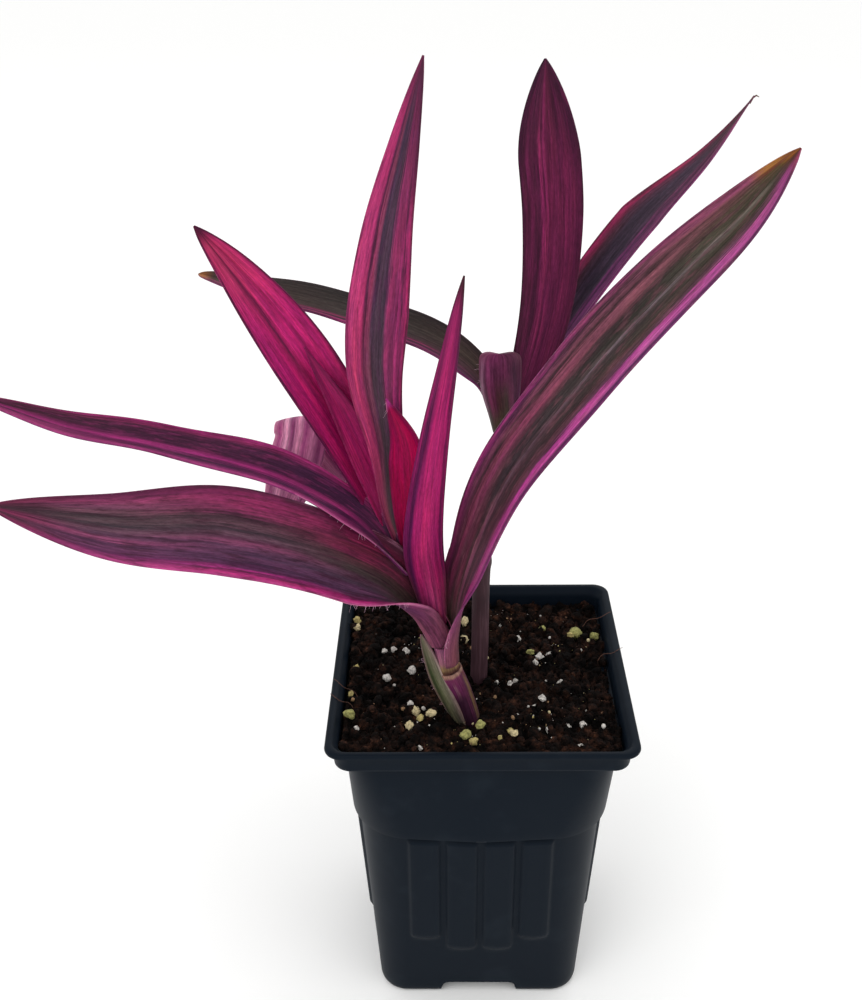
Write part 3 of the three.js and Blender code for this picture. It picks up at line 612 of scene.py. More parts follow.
def along_path(points, shares):
    """Places at these shares of the length of a smooth curve through the points, and directions there."""
    p = np.array(points, float)
    p = np.vstack([2 * p[0] - p[1], p, 2 * p[-1] - p[-2]])
    t = np.linspace(0, 1, 48, endpoint=False)[:, None]
    spans = [
        b + 0.5 * t * (c - a) + t**2 * (a - 2.5 * b + 2 * c - 0.5 * d)
        + t**3 * (1.5 * (b - c) + 0.5 * (d - a))
        for a, b, c, d in zip(p[:-3], p[1:-2], p[2:-1], p[3:])
    ]
    line = np.vstack(spans + [p[-2:-1]])
    reach = np.concatenate([[0], np.cumsum(np.linalg.norm(np.diff(line, axis=0), axis=1))])
    reach /= reach[-1]
    heading = np.gradient(line, reach, axis=0)
    place = np.stack([np.interp(shares, reach, line[:, k]) for k in range(3)], axis=-1)
    along = np.stack([np.interp(shares, reach, heading[:, k]) for k in range(3)], axis=-1)
    return place, along / np.linalg.norm(along, axis=-1, keepdims=True)


def stem_skin(name, low, high, line_colour):
    """A stalk's skin: waxy, with fine lines of about 0.7 mm that run along it."""
    material, tree, shader = new_material(name, {"Roughness": 0.5, "IOR": 1.42, "Specular IOR Level": 0.2})
    place = add_node(tree, "ShaderNodeTexCoord").outputs["Object"]
    drawn = add_node(tree, "ShaderNodeMapping", {"Scale": (1, 1, 0.06), "Vector": place})
    lines = add_node(tree, "ShaderNodeTexNoise", {"Scale": 1400, "Detail": 3, "Vector": drawn})
    patches = add_node(tree, "ShaderNodeTexNoise", {"Scale": 90, "Detail": 4, "Vector": place})
    ground = add_node(
        tree, "ShaderNodeMix", {"Factor": patches, "A": linear(low), "B": linear(high)}, data_type="RGBA"
    )
    lined = add_node(
        tree, "ShaderNodeMapRange", {"Value": lines, "From Min": 0.5, "From Max": 0.7, "To Max": 0.6}
    )
    colour = add_node(
        tree, "ShaderNodeMix", {"Factor": lined, "A": ground, "B": linear(line_colour)}, data_type="RGBA"
    )
    bump = add_node(tree, "ShaderNodeBump", {"Strength": 0.3, "Distance": 0.0002, "Height": lines})
    feed(shader, {"Base Color": colour, "Normal": bump})
    return material


def grow_stalk(name, points, radius, joint, swell, skin, node):
    """A round stalk of this radius in millimetres, swollen at the height of its joint."""
    place, _ = along_path(points, np.linspace(0, 1, 120))
    girth = radius + swell * np.exp(-(((place[:, 2] - joint) / 1.6) ** 2))
    run_strands(name, [(place, girth)], 40, skin, node)


pink_skin = stem_skin("pink_stalk_skin", "#8a4468", "#b98092", "#6d2f55")
grow_stalk("front_stalk", FRONT_STEM, 2.6, 135.9, 0.25, pink_skin, "front_stem")


# ---------------- back stem
# The taller, straight stem of the back shoot: a brown-mauve stalk with faint lines along it, and a
# small ring where an old leaf has dropped.
BACK_STEM = [
    (-0.6, -4, 88), (-0.2, -3.5, 111), (0.2, -3, 131), (0.4, -2.5, 153),
    (1.2, -2, 168), (3.4, -1, 187), (6.8, 0, 205), (8.2, 0.4, 210.5),
]
mauve_skin = stem_skin("brown_mauve_stalk_skin", "#2c1d22", "#4d343b", "#5e434b")
grow_stalk("back_stalk", BACK_STEM, 2.85, 161, 0.3, mauve_skin, "back_stem")


# ---------------- old leaf sheath
# The closed lower part of the oldest leaf, still wrapped round the front stem, with a pale dry
# mouth, a dry flange down its right side, and a short striped flap where the blade was.
def map_blade(piece, across, along, underside):
    """Gives each point its place across and along the blade, and its share of the underside."""
    uv = piece.data.uv_layers.new(name="blade")
    corner_points = np.empty(len(piece.data.loops), dtype=int)
    piece.data.loops.foreach_get("vertex_index", corner_points)
    uv.data.foreach_set("uv", np.stack([across, along], axis=1)[corner_points].ravel())
    piece.data.attributes.new("underside", "FLOAT", "POINT").data.foreach_set("value", underside)


def tube_round(name, stem, z_from, z_to, inner, outer, mouth, material, node=None):
    """A thin open tube round a stretch of a stem. mouth gives its top rim's rise by angle."""
    place, along = along_path(stem, np.linspace(0, 1, 400))
    levels, around = 26, 48
    rings = []
    turn = np.linspace(0, math.tau, around, endpoint=False)
    shares = np.arange(levels) / (levels - 1)
    for wall, order in ((outer, shares), (inner, shares[::-1])):
        for share in order:
            height = z_from + share * (z_to - z_from)
            centre = np.array([np.interp(height, place[:, 2], place[:, k]) for k in range(3)])
            heading = np.array([np.interp(height, place[:, 2], along[:, k]) for k in range(3)])
            right = np.cross((0, 1, 0), heading)
            right /= np.linalg.norm(right)
            back = np.cross(heading, right)
            flare = 0.25 * share**8
            uneven = 0.12 * np.sin(3 * turn + 1)
            ribs = 1 + 0.03 * np.cos(9 * turn)
            radius = (wall + flare + uneven) * ribs + 0.02
            ring = centre + np.outer(radius * np.cos(turn), right) + np.outer(radius * np.sin(turn), back)
            rings.append(ring + np.outer(mouth(turn) * share**3, heading))
    faces = ladder_faces(2 * levels, around)
    last = (2 * levels - 1) * around
    faces += [(last + i, last + (i + 1) % around, (i + 1) % around, i) for i in range(around)]
    piece = mesh_piece(name, np.vstack(rings), faces, material)
    along_tube = np.repeat([*shares, *shares[::-1]], around)
    map_blade(piece, np.tile(turn / math.tau, 2 * levels), along_tube, np.repeat([0.0, 1.0], levels * around))
    settle(piece, node)


def striped_skin(name, face, underside, seed, width=16, length=130, wander=0.03, flecks=None, gloss=0.46):
    """A leaf's skin: satin living tissue that lets in some light. face and underside hold its stripes.

    Stripes lie across the blade, at percentages of its length from base to tip, each a colour with
    its percentage from one margin to the other. width and length are the blade's, in millimetres.
    flecks: a colour and its share.
    """
    material, tree, shader = new_material(
        name,
        {
            "Roughness": gloss, "IOR": 1.4, "Specular IOR Level": 0.13, "Sheen Weight": 0.02,
            "Sheen Roughness": 0.4, "Subsurface Weight": 0.1, "Subsurface Radius": (1.0, 0.35, 0.5),
            "Subsurface Scale": 0.0012,
        },
    )
    blade_map = add_node(tree, "ShaderNodeUVMap", uv_map="blade")
    split = add_node(tree, "ShaderNodeSeparateXYZ", {"Vector": blade_map})
    # Stripe edges waver over 16 mm of length. Streaks are 1.3 by 30 mm, vein strips 0.5 by 14 mm,
    # rows of cells 0.4 by 1.8 mm, and flecks of other pigment 1.5 by 9 mm.
    patterns = []
    for wide, long, detail in ((4, 16, 3), (1.3, 30, 5), (0.5, 14, 4), (0.4, 1.8, 3), (1.5, 9, 4)):
        scale = (width / wide, length / long, 1)
        drawn = add_node(
            tree, "ShaderNodeMapping", {"Scale": scale, "Location": (seed, wide, 0), "Vector": blade_map}
        )
        noise = {"Scale": 1, "Detail": detail, "Roughness": 0.6, "Vector": drawn}
        patterns.append(add_node(tree, "ShaderNodeTexNoise", noise))
    broad, streaks, fine, cells, blots = patterns
    sway = add_node(tree, "ShaderNodeMath", {0: broad, 1: wander * 2, 2: -wander}, operation="MULTIPLY_ADD")
    fray = add_node(tree, "ShaderNodeMath", {0: fine, 1: 0.14, 2: -0.07}, operation="MULTIPLY_ADD")
    moved = add_node(tree, "ShaderNodeMath", {0: split.outputs["X"], 1: sway}, operation="ADD")
    across = add_node(tree, "ShaderNodeMath", {0: moved, 1: fray}, operation="ADD")
    sides = []
    for stations in (face, underside):
        colour, before = None, None
        for percent, stripes in stations.items():
            at = percent / 100
            ramp = add_node(tree, "ShaderNodeValToRGB", {"Fac": across})
            ramp.color_ramp.interpolation = "EASE"
            set_stops(ramp.color_ramp, stripes)
            if colour is None:
                colour, before = ramp, at
                continue
            reach = {"Value": split.outputs["Y"], "From Min": before, "From Max": at}
            share = add_node(tree, "ShaderNodeMapRange", reach, interpolation_type="SMOOTHSTEP")
            blend = {"Factor": share, "A": colour, "B": ramp}
            colour, before = add_node(tree, "ShaderNodeMix", blend, data_type="RGBA"), at
        sides.append(colour)
    flag = add_node(tree, "ShaderNodeAttribute", attribute_name="underside").outputs["Fac"]
    skin = add_node(tree, "ShaderNodeMix", {"Factor": flag, "A": sides[0], "B": sides[1]}, data_type="RGBA")
    if flecks:
        fleck_colour, most = flecks
        spread = add_node(
            tree, "ShaderNodeMapRange", {"Value": blots, "From Min": 0.5, "From Max": 0.64, "To Max": most}
        )
        skin = add_node(
            tree, "ShaderNodeMix", {"Factor": spread, "A": skin, "B": linear(fleck_colour)}, data_type="RGBA"
        )
    # Each streak, vein strip and row of cells is lighter or darker than its neighbour.
    value = None
    for pattern, low, high in ((fine, 0.5, 1.18), (streaks, 0.66, 1.28), (cells, 0.76, 1.22)):
        levels = {"Value": pattern, "From Min": 0.28, "From Max": 0.72, "To Min": low, "To Max": high}
        level = add_node(tree, "ShaderNodeMapRange", levels)
        if value is not None:
            level = add_node(tree, "ShaderNodeMath", {0: value, 1: level}, operation="MULTIPLY")
        value = level
    hues = {"Value": streaks, "From Min": 0.3, "From Max": 0.7, "To Min": 0.49, "To Max": 0.508}
    turn = add_node(tree, "ShaderNodeMapRange", hues)
    shaded = add_node(tree, "ShaderNodeHueSaturation", {"Color": skin, "Value": value, "Hue": turn})
    ribs = add_node(tree, "ShaderNodeBump", {"Strength": 0.4, "Distance": 0.0003, "Height": fine})
    feed(shader, {"Base Color": shaded, "Normal": ribs})
    return material


BLADE_STEPS, BLADE_COLUMNS = 150, 33
BLADE_THICKNESS, MARGIN_THINNER = 0.95, 0.3  # at the midrib, and by how much less at the margins, mm
LEAST_HALF = 0.12
MARGIN_ROUNDING = 0.22
leaf_margins = {}


def grow_leaf(name, node, material, path, face, base, wide, at, full, point, curl, curl_base,
              sheath, fold, wave=0, waves=1, swell=1, hold=0):
    """A leaf with a rounded margin all round, mapped across and along, in place of its plain node.

    path is its middle line and face the way its upper side looks, from base to tip. Its half width
    goes from base to wide, in millimetres, at the share at of its length, then to its point by the
    powers full and point. curl_base bends it across until the share sheath, then curl does. fold
    is its crease in degrees, wave the height of its waved edge and waves their number.
    """
    s = np.linspace(0, 1, BLADE_STEPS)
    v = np.linspace(-1, 1, BLADE_COLUMNS)
    middle, along = along_path(path, s)
    faces = np.array(face, float)
    place = s * (len(faces) - 1)
    step = np.minimum(np.floor(place).astype(int), len(faces) - 2)
    blend = ease(0, 1, place - step)[:, None]
    up = faces[step] * (1 - blend) + faces[step + 1] * blend
    up -= np.sum(up * along, axis=1, keepdims=True) * along
    up /= np.linalg.norm(up, axis=1, keepdims=True)
    sideways = np.cross(along, up)
    u = np.clip((s - at) / (1 - at), 0, 1)
    grown = base + (wide - base) * np.sin(math.pi / 2 * np.clip(s / at, 0, 1)) ** swell
    narrowed = np.maximum(LEAST_HALF, wide * np.maximum(0, 1 - u**full) ** point)
    half = np.where(s < at, grown, narrowed)[:, None]
    k = (curl_base + (curl - curl_base) * ease(hold, sheath, s))[:, None]
    crease = math.radians(fold) * ease(0.02, 0.3, s)[:, None]
    arc = half * np.sin(k * v) / k
    phase = np.where(v > 0, 0.7, 2.2)
    ripple = np.sin(math.tau * waves * s[:, None] + phase) * ease(0, 0.3, s)[:, None]
    rise = half * (1 - np.cos(k * v)) / k + np.tan(crease) * (np.sqrt(arc**2 + 0.25) - 0.5)
    rise += wave * v * v * ripple * half / wide
    slope = k * v + crease * np.sign(v)
    lift = (BLADE_THICKNESS - MARGIN_THINNER * np.abs(v)) / 2 * np.minimum(1, 0.3 + half / 2)
    upper, under = (
        middle[:, None]
        + sideways[:, None] * (arc * np.cos(crease) - side * lift * np.sin(slope))[..., None]
        + up[:, None] * (rise + side * lift * np.cos(slope))[..., None]
        for side in (1, -1)
    )
    edges = []
    for margin, inner in ((-1, -2), (0, 1)):
        rim = (upper[:, margin] + under[:, margin]) / 2
        outward = rim - (upper[:, inner] + under[:, inner]) / 2
        outward /= np.linalg.norm(outward, axis=1, keepdims=True)
        edges.append(rim + MARGIN_ROUNDING * outward)
    section = np.concatenate([upper, edges[0][:, None], under[:, ::-1], edges[1][:, None]], axis=1)
    around = section.shape[1]
    m = BLADE_COLUMNS
    caps = [(i + 1, i, 2 * m - i, 2 * m - i - 1) for i in range(m - 1)]
    caps += [(m, m - 1, m + 1), (0, 2 * m + 1, 2 * m)]
    last = (BLADE_STEPS - 1) * around
    leaf_faces = ladder_faces(BLADE_STEPS, around) + caps
    leaf_faces += [tuple(last + i for i in cap[::-1]) for cap in caps]
    leaf = mesh_piece(name, section.reshape(-1, 3), leaf_faces, material)
    across = np.concatenate([(v + 1) / 2, [1], ((v + 1) / 2)[::-1], [0]])
    under_share = np.array([0.0] * m + [0.5] + [1.0] * m + [0.5])
    map_blade(leaf, np.tile(across, BLADE_STEPS), np.repeat(s, around), np.tile(under_share, BLADE_STEPS))
    leaf.data.flip_normals()
    leaf_margins[name] = edges
    settle(leaf, node)


skin = striped_skin(
    "dry_old_sheath",
    {
        0: "0#4c3034 10#51293e 30#432234 55#512d45 66#361c2e 72#281522 84#2e1626 90#442237 95#634d3c "
           "100#4c3034",
        55: "0#513730 10#532941 30#442137 50#512b3e 64#411d34 70#321628 80#34172b 88#4c223a 94#6e563c "
            "100#513730",
        78: "0#533434 30#4c2140 62#552145 73#61224a 75.5#774c5b 78#5f2148 90#562641 95#6e5440 100#533434",
        92: "0#5f3a3a 40#652e48 70#702e53 90#632e48 100#5f3a3a",
        97: "#8b695d #9e7567 #8b695d",
    },
    {0: "#512937 #512937"},
    3.1, width=22, length=25,
)
tube_round(
    "old_sheath", FRONT_STEM, 110.5, 135.9, 2.85, 3.6, lambda turn: 0.6 * np.sin(turn - 0.6), skin,
    "front_old_sheath",
)

# The flap: olive and grey-green stripes between pale pink, papery margins.
FLAP_STRIPES = {
    10: "0#604448 12#75625c 30#48443a 50#56523f 70#3a382a 85#6e5a50 100#5c4244",
    60: "0#7a5c60 9#a08c84 16#5e5c4a 34#75725a 46#565a40 56#3a4228 66#2e3820 74#625c48 88#80685e "
        "100#684850",
    100: "0#84666a 40#756c5a 70#5a5642 100#75585a",
}
skin = striped_skin("striped_papery_flap", FLAP_STRIPES, FLAP_STRIPES, 5.7, width=7, length=42)
grow_leaf(
    "old_sheath_flap", "front_old_sheath", skin,
    [(-5.6, -27.2, 112), (-10.2, -28, 123), (-14.2, -27.8, 133), (-16.9, -27, 142.4), (-18.8, -26, 149)],
    [(0.5, 0.85, -0.1), (0.4, 0.9, -0.1)],
    base=2.8, wide=3.1, at=0.45, full=2, point=0.7, curl=0.7, curl_base=0.9, sheath=0.5, fold=0,
)


# ---------------- far-left upper leaf
# A long living blade of the front shoot that arches out to the left. Two dark purple bands run
# along it between a pink midline and magenta margins.
skin = striped_skin(
    "purple_banded_leaf",
    {
        4: "0#b07a90 3#74345a 12#6a3456 25#40243c 50#4a2440 62#5a2c4a 80#40243a 97#5c2c48 100#a8708c",
        22: "0#a8447c 10#8f2a68 20#4a1a42 32#5c1e4c 40#9a2e6c 47#7a2458 54#3f1838 84#421a3c 92#7e2256 "
            "100#9a2c68",
        55: "0#a43c78 10#94286a 17#561c48 25#3f1736 34#6a2052 43#a83078 52#8a2662 58#431a36 87#471b38 "
            "93#7a2250 100#a0286c",
        97: "0#a03a70 30#8a2a62 38#43183a 50#9a2e6c 60#7a2458 70#3c1a2c 92#4a2034 100#7a2a50",
    },
    {0: "#7a2a66 #5a2450 #8a3474 #5a2450 #7a2a66"},
    1.3, width=15, length=145, wander=0.02, flecks=("#8a2a60", 0.4),
)
grow_leaf(
    "leaf_far_left_upper", "front_leaf_upper_left", skin,
    [(-22.9, -23.5, 171), (-37.9, -22.5, 189.3), (-62, -19, 201.9), (-94, -14, 208.5), (-123, -10, 212.9),
     (-151.5, -5, 220.6)],
    [(0.6, -0.4, 0.5), (0.25, -0.35, 0.9), (0.1, -0.3, 0.9)],
    base=4.4, wide=7.5, at=0.34, full=1.8, point=0.58, curl=0.5, curl_base=1.4, sheath=0.2, fold=12,
    wave=0.5, waves=3,
)


# ---------------- far-left lower leaf
# The widest living blade, whose base wraps the shoot as a sheath. Slate purple and olive streaks,
# crimson patches above, and a bright double line along its lower margin.
skin = striped_skin(
    "slate_streaked_leaf",
    {
        5: "0#c85a90 4#a04878 15#5c4a50 30#5a4c40 50#4c4038 75#4a3036 100#40242e",
        24: "0#c04a88 5#b02e72 9#64284e 15#483048 24#5c3854 30#463444 38#5e3e50 48#463a3a 58#4c2c34 "
            "68#7c2246 75#5c1c34 84#7c2046 93#561a34 98#4a1a30 100#a86a86",
        50: "0#c04484 4#b83078 7.5#6c2650 10.5#a6327a 14#5c2a50 20#4c2e4a 25#643a5a 30#4a2e48 37#5e3854 "
            "43#804062 47#5a3048 52#644454 57#40303a 63#5a3c48 69#472c38 76#782c50 86#8a2a58 95#7a2450 "
            "100#521c3a",
        80: "0#a8407c 7#8a3468 12#5c2c50 20#6a3a5c 25#54304c 32#8a4468 40#57384e 47#6a4858 53#40343c "
            "60#564048 66#3f3238 74#64404e 82#74405a 90#8a3a60 100#5a2040",
        98: "0#7a2a50 20#5c3044 40#7c2c50 60#462c38 100#6a2844",
    },
    {
        4: "#96566c #6c304c #84465e #5c2a44 #7c3e56 #582c40 #7a5a48",
        16: "0#d078a0 4#7c3460 15#54284a 30#6a3050 45#4c2642 60#643450 85#5c443c 100#6a5c40",
        30: "#a0447c #6a3060 #8a4078 #6a3060 #8a3a70",
    },
    2.7, width=26, length=135, wander=0.035, flecks=("#3c1c2c", 0.6),
)
grow_leaf(
    "leaf_far_left_lower", "front_leaf_lower_left", skin,
    [(-15.9, -25.2, 146.4), (-18.4, -25.6, 152.5), (-22.4, -27, 160.5), (-32, -30, 172), (-50, -36, 184.5),
     (-74, -45, 196.2), (-102, -54, 203.4), (-131, -60.5, 214)],
    [(0.8, -0.3, 0.5), (0.2, -0.6, 0.7), (0, -0.7, 0.7)],
    base=11.5, wide=13.5, at=0.52, full=1.7, point=0.81, curl=0.35, curl_base=2.8, sheath=0.3, hold=0.05,
    fold=5, wave=0.6, waves=2,
)


# ---------------- pink up-left leaf
# A broad magenta blade that stands up to the left, with a dark line beside its middle, thin dark
# margins and a salmon tint towards a fine dark tip.
skin = striped_skin(
    "magenta_leaf",
    {
        5: "0#5e113c 10#90114a 45#950e4a 62#6e1d38 72#7f293f 85#901447 100#571638",
        35: "0#470f36 3#901652 10#a6165b 35#9e1154 50#a41254 64#961654 72#af195d 94#a01659 100#4d0f34",
        65: "0#470f36 2.5#951959 10#b31d6a 30#ad1964 36#901652 41#681441 46#921852 53#bf2270 64#b31c66 "
            "68#9a1959 72#bb206c 95#b51f68 98#901652 100#470f36",
        93: "0#4d1234 6#b73061 30#bf3864 42#72193c 50#ba3461 66#901f4a 75#bf3266 94#af2a61 100#4d1234",
        99: "#4d1430 #3e122d",
    },
    {0: "#901959 #af2470 #901959 #af2470 #901959"},
    4.1, width=19, length=112, wander=0.02, flecks=("#7a1846", 0.4),
)
grow_leaf(
    "leaf_pink_up_left", "front_leaf_up_left", skin,
    [(-25.5, -15.5, 176), (-33, -15, 197), (-43, -14, 218.5), (-55.8, -12, 240.3), (-69.5, -7, 258.4),
     (-81, -4, 272)],
    [(0.4, -0.9, 0.2), (0.4, -0.8, 0.4)],
    base=4, wide=9.4, at=0.54, full=1.9, point=0.82, curl=0.4, curl_base=0.9, sheath=0.2, fold=8, wave=0.3,
    waves=2,
)


# ---------------- nested young leaf
# The youngest leaf of the front shoot, deep crimson, lying in the channel of the pink leaf.
skin = striped_skin(
    "crimson_young_leaf",
    {
        50: "0#8a144a 8#a01a5a 30#a81c5e 50#9a1854 56#ac1e60 92#a01a5a 100#7a1244",
        95: "#7a1648 #901c54 #701444",
    },
    {0: "#8a1c54 #a02464 #8a1c54"},
    5.2, width=10, length=70, gloss=0.42,
)
grow_leaf(
    "leaf_nested_young", "front_leaf_nested", skin,
    [(-26.5, -18, 179), (-32, -17.5, 198), (-40.5, -16, 219), (-51, -14, 239.5)],
    [(0.5, -0.8, 0.2), (0.4, -0.8, 0.4)],
    base=2.5, wide=5, at=0.4, full=1.6, point=1, curl=0.5, curl_base=1, sheath=0.25, fold=8,
)


# ---------------- tall upright leaf
# The tallest blade of the front shoot: a light pink left third, a grey-purple middle band with
# thin dark lines, and magenta lines down the right.
# The light pink of the left third is partly the leaf's own pink and partly painted sheen.
skin = striped_skin(
    "pink_and_grey_leaf",
    {
        4: "0#812b4b 30#92455c 45#594147 65#4a3b42 80#813b56 100#5f2b40",
        28: "0#922b56 4#bb3b6d 24#aa3560 32#5f2b44 40#7b4156 46#493540 64#4a3744 70#923562 80#702b4f "
            "87#a3316d 93#5f1f44 97#a52d64 100#5f1d3c",
        60: "0#922b5a 3#c9437c 25#bd3b73 28#70274b 31#4e213c 35#973b60 39#813b5a 43#443146 52#51394b "
            "62#433042 66#723156 70#973162 78#812b56 86#9d3166 89#4e1e3c 93#992b60 97#aa2b66 100#5f1d3c",
        85: "0#9f3164 5#c33b75 22#aa3169 28#5a2546 36#813b56 46#49354b 62#4a3144 72#812f56 90#70294d "
            "100#4e1d38",
        99: "#70294b #4e253c",
    },
    {0: "#923562 #702b51 #5f314b #81315c #923562"},
    6.6, width=17, length=145, wander=0.015, flecks=("#6a2c5c", 0.3),
)
grow_leaf(
    "leaf_tall_upright", "front_leaf_tall", skin,
    [(-24.5, -20.5, 178), (-27.8, -20, 191), (-28.8, -18, 211), (-31.4, -14, 235), (-27.8, -7, 267),
     (-21.9, -2, 294), (-16.4, 2, 316)],
    [(0.2, -1, 0.1), (0.15, -1, 0.2)],
    base=2, wide=9, at=0.5, full=1.35, point=0.85, curl=0.4, curl_base=0.8, sheath=0.25, fold=8, wave=0.4,
    waves=2, swell=2,
)


# ---------------- small crimson leaf
# A short young leaf, pure crimson, that stands behind the narrow leaf and ends in a hair point.
skin = striped_skin(
    "pure_crimson_leaf",
    {
        10: "0#800b3c 30#9c0844 70#960742 100#700835",
        60: "0#8e0744 10#b80550 45#b4044c 50#a00442 56#b8054e 92#b0054c 100#82053d",
        93: "#7e063f #a40546 #7e063f",
        98: "#b03585 #b03585",
    },
    {0: "#8a0a4c #a00d57 #8a0a4c"},
    7.9, width=11, length=55, gloss=0.42,
)
grow_leaf(
    "leaf_small_crimson", "front_leaf_small", skin,
    [(-20.9, -21.5, 175.5), (-20.9, -22.5, 196.9), (-21.9, -22, 212.9), (-27.8, -19.5, 226)],
    [(-0.4, -1, 0.1), (-0.3, -1, 0.2)],
    base=3.5, wide=6.1, at=0.6, full=1.5, point=1.1, curl=0.6, curl_base=1.2, sheath=0.3, fold=10,
)


# ---------------- narrow front leaf
# A narrow channelled leaf in front of all, seen from its bright magenta back, with fine ribs at its
# base and a dark band down one side.
narrow_back = {
    4: "0#8a4a5c 10#a85a72 16#7c3054 22#ac4470 28#7c2a56 34#b0406e 40#7e2a58 46#ac3c70 52#7a2856 58#a63a6e "
       "64#74284f 70#962f64 78#7a2a56 92#8a4058 100#7a4450",
    20: "0#5a1846 6#9c2666 10#6c1a4e 17#a4225f 24#80184c 31#a8205e 37#80184c 44#a8205e 50#861a50 60#a41e5c "
        "68#a01e5e 77#5a184a 83#4c143f 90#701c50 100#80245a",
    32: "0#5a1446 5#94205e 11#6e184c 17#a82064 50#ac1e60 72#a21e62 78#5c184c 85#501640 91#741c54 "
        "100#80225c",
    60: "0#54143f 6#8c1c58 14#70184c 22#aa2066 60#ae2066 70#861c58 76#4e1440 84#5a1846 90#962060 "
        "100#701a50",
    90: "0#48123a 30#7c1a50 60#9c2460 100#6c184a",
    99: "#3c1a24 #4a2030",
}
skin = striped_skin(
    "channelled_magenta_leaf", narrow_back, narrow_back,
    8.3, width=16, length=120, wander=0.012,
)
grow_leaf(
    "leaf_narrow_front", "front_leaf_narrow", skin,
    [(-14, -28.4, 153), (-15.6, -30, 165), (-17.6, -32, 181), (-16.9, -34, 197), (-13.9, -36.5, 221),
     (-10.4, -37, 242), (-7.3, -36, 260), (-5.9, -35.5, 267.5)],
    [(0, 1, -0.2), (0, 1, 0.1)],
    base=5.6, wide=7, at=0.18, full=1.05, point=0.72, curl=0.8, curl_base=1.7, sheath=0.3, fold=10,
)


# ---------------- long right leaf
# The longest blade, from the lowest joint out to the upper right: olive-grey and pink-brown
# stripes, a pale midrib, a bright pink band by its lower margin, and a dried brown tip.
skin = striped_skin(
    "olive_and_pink_leaf",
    {
        4: "0#b07a90 6#7a4a5c 20#54443c 50#5c4a48 80#8a4a6c 100#b87a96",
        16: "0#8a3060 5#7c2a54 12#4c2036 20#702c48 28#3f2430 36#6c3044 44#3f2a2e 50#8a4a64 56#3c2430 "
            "66#5c3040 74#48203a 82#a03070 93#a83e80 100#702858",
        40: "0#6a2452 3#93306e 7#4e2440 11#6e3450 15#3c262e 20#6e3448 26#8a3c5c 32#5a3040 37#3a2a30 "
            "44#3a2f34 49#4a363c 52#5e4450 56#463038 66#3c2c30 74#54303c 81#5e3048 86#b84090 94#bc4894 "
            "96.5#702c60 100#5a2450",
        70: "0#5a2a48 3#8a3c64 7#432c34 12#704050 16#432c30 22#8a4e5e 28#74424e 33#3c2e30 42#38342f "
            "48#453c3a 51#76666c 54#453a3a 64#3c3430 72#4a3836 80#5c3a4c 85#b84c94 94#bc5a9c 96.5#6a3060 "
            "100#502850",
        92: "0#6a3048 8#9a4c6c 16#5c3a3c 30#4c4234 44#403a2e 52#6a6058 62#3e3a2c 78#5a3848 85#b85494 "
            "95#ac4c8c 100#5a2c50",
        96: "0#a0682c 10#b07838 18#6a3a20 30#4c4028 50#403a2c 66#4a3038 76#a04880 93#94407a 100#4a2440",
        99: "0#7a4a1e 30#8a5220 60#4a2c18 100#8a3c54",
    },
    {
        0: "#86485e #603048 #7c4058 #5c3a3c #74404c #80485c",
        20: "#8a3a70 #5a2a4c #7a3a60 #5a2a4c #8a3a70",
    },
    9.4, width=23, length=185, wander=0.015, flecks=("#7a4654", 0.4),
)
grow_leaf(
    "leaf_long_right", "front_leaf_long_right", skin,
    [(-7.6, -25.6, 140), (-7.7, -26.6, 151), (-4.8, -29, 172), (7.3, -32, 207.5), (27, -34, 238),
     (46.9, -36, 263.9), (65, -35, 283.5), (77, -34, 299)],
    [(-0.8, -0.3, 0.2), (-0.6, -0.6, 0.5), (-0.5, -0.7, 0.5)],
    base=7, wide=11.1, at=0.5, full=3.6, point=0.85, curl=0.4, curl_base=1.9, sheath=0.22, fold=6, wave=0.4,
    waves=3,
)

# Its closed sheath round the stem's lowest joint, pale pink with a greenish foot.
skin = striped_skin(
    "pale_pink_joint",
    {
        4: "#4c2c28 #432822 #6a5434 #4c2e26 #4c2c28",
        20: "#8a6a4c #7a5a46 #968258 #7c6044 #8a6a4c",
        45: "#94546a #7a4058 #9c6a72 #84485e #a06478 #8a4f64 #94546a",
        100: "#964c70 #74385a #9a5474 #7c4062 #9a5878 #84486a #964c70",
    },
    {0: "#7a4a60 #7a4a60"},
    9.9, width=20, length=9,
)
tube_round(
    "long_right_leaf_sheath", FRONT_STEM, 135.6, 145.6, 2.9, 3.45, lambda turn: 0.4 * np.sin(turn), skin,
)


# ---------------- arching leaf
# A leaf that grows up behind the front shoot, arches over and hangs down at the left, pale pink with mauve
# stripes.
# The pale pink, palest on the hanging part, is painted light: sheen and light coming through the blade.
# Painted sheen and let-through light: the pale pinks from 45 per cent of the length to the tip.
pale_painted_light_stripes = {
    20: "#8a4370 #7a3461 #8a4370 #6a2b59 #8a4370",
    45: "#c47c9c #944173 #cc82a4 #8a3a68 #b86591 #7a315d #9a4f7b",
    60: "#cc7ea0 #a04479 #dc97b6 #8e3d6e #d489ab #9a4477 #c07199 #7c3461 #8a436c",
    100: "#c882a4 #ac5a88 #d490af #a05380 #c880a2 #9c517e #b86e95",
}
skin = striped_skin("pale_striped_leaf", pale_painted_light_stripes, pale_painted_light_stripes, 11.2, width=17, length=80, wander=0.02)
grow_leaf(
    "leaf_arching", "front_leaf_arching", skin,
    [(-27, -14.5, 174), (-37, 0, 182), (-47, 11, 191), (-54, 14, 200.7), (-55.8, 8.5, 207.3),
     (-56.2, 1.5, 203.8), (-59, -1.5, 192), (-63.3, -3, 180), (-66.6, -4, 170)],
    [(0.8, -0.3, 0.5), (0.5, -0.7, 0.5), (0.2, -1, 0.1), (0, 0, -1), (0, 1, -0.1), (0, 1, -0.1)],
    base=3.5, wide=8.4, at=0.65, full=2.4, point=0.9, curl=0.3, curl_base=1.2, sheath=0.2, fold=4,
)


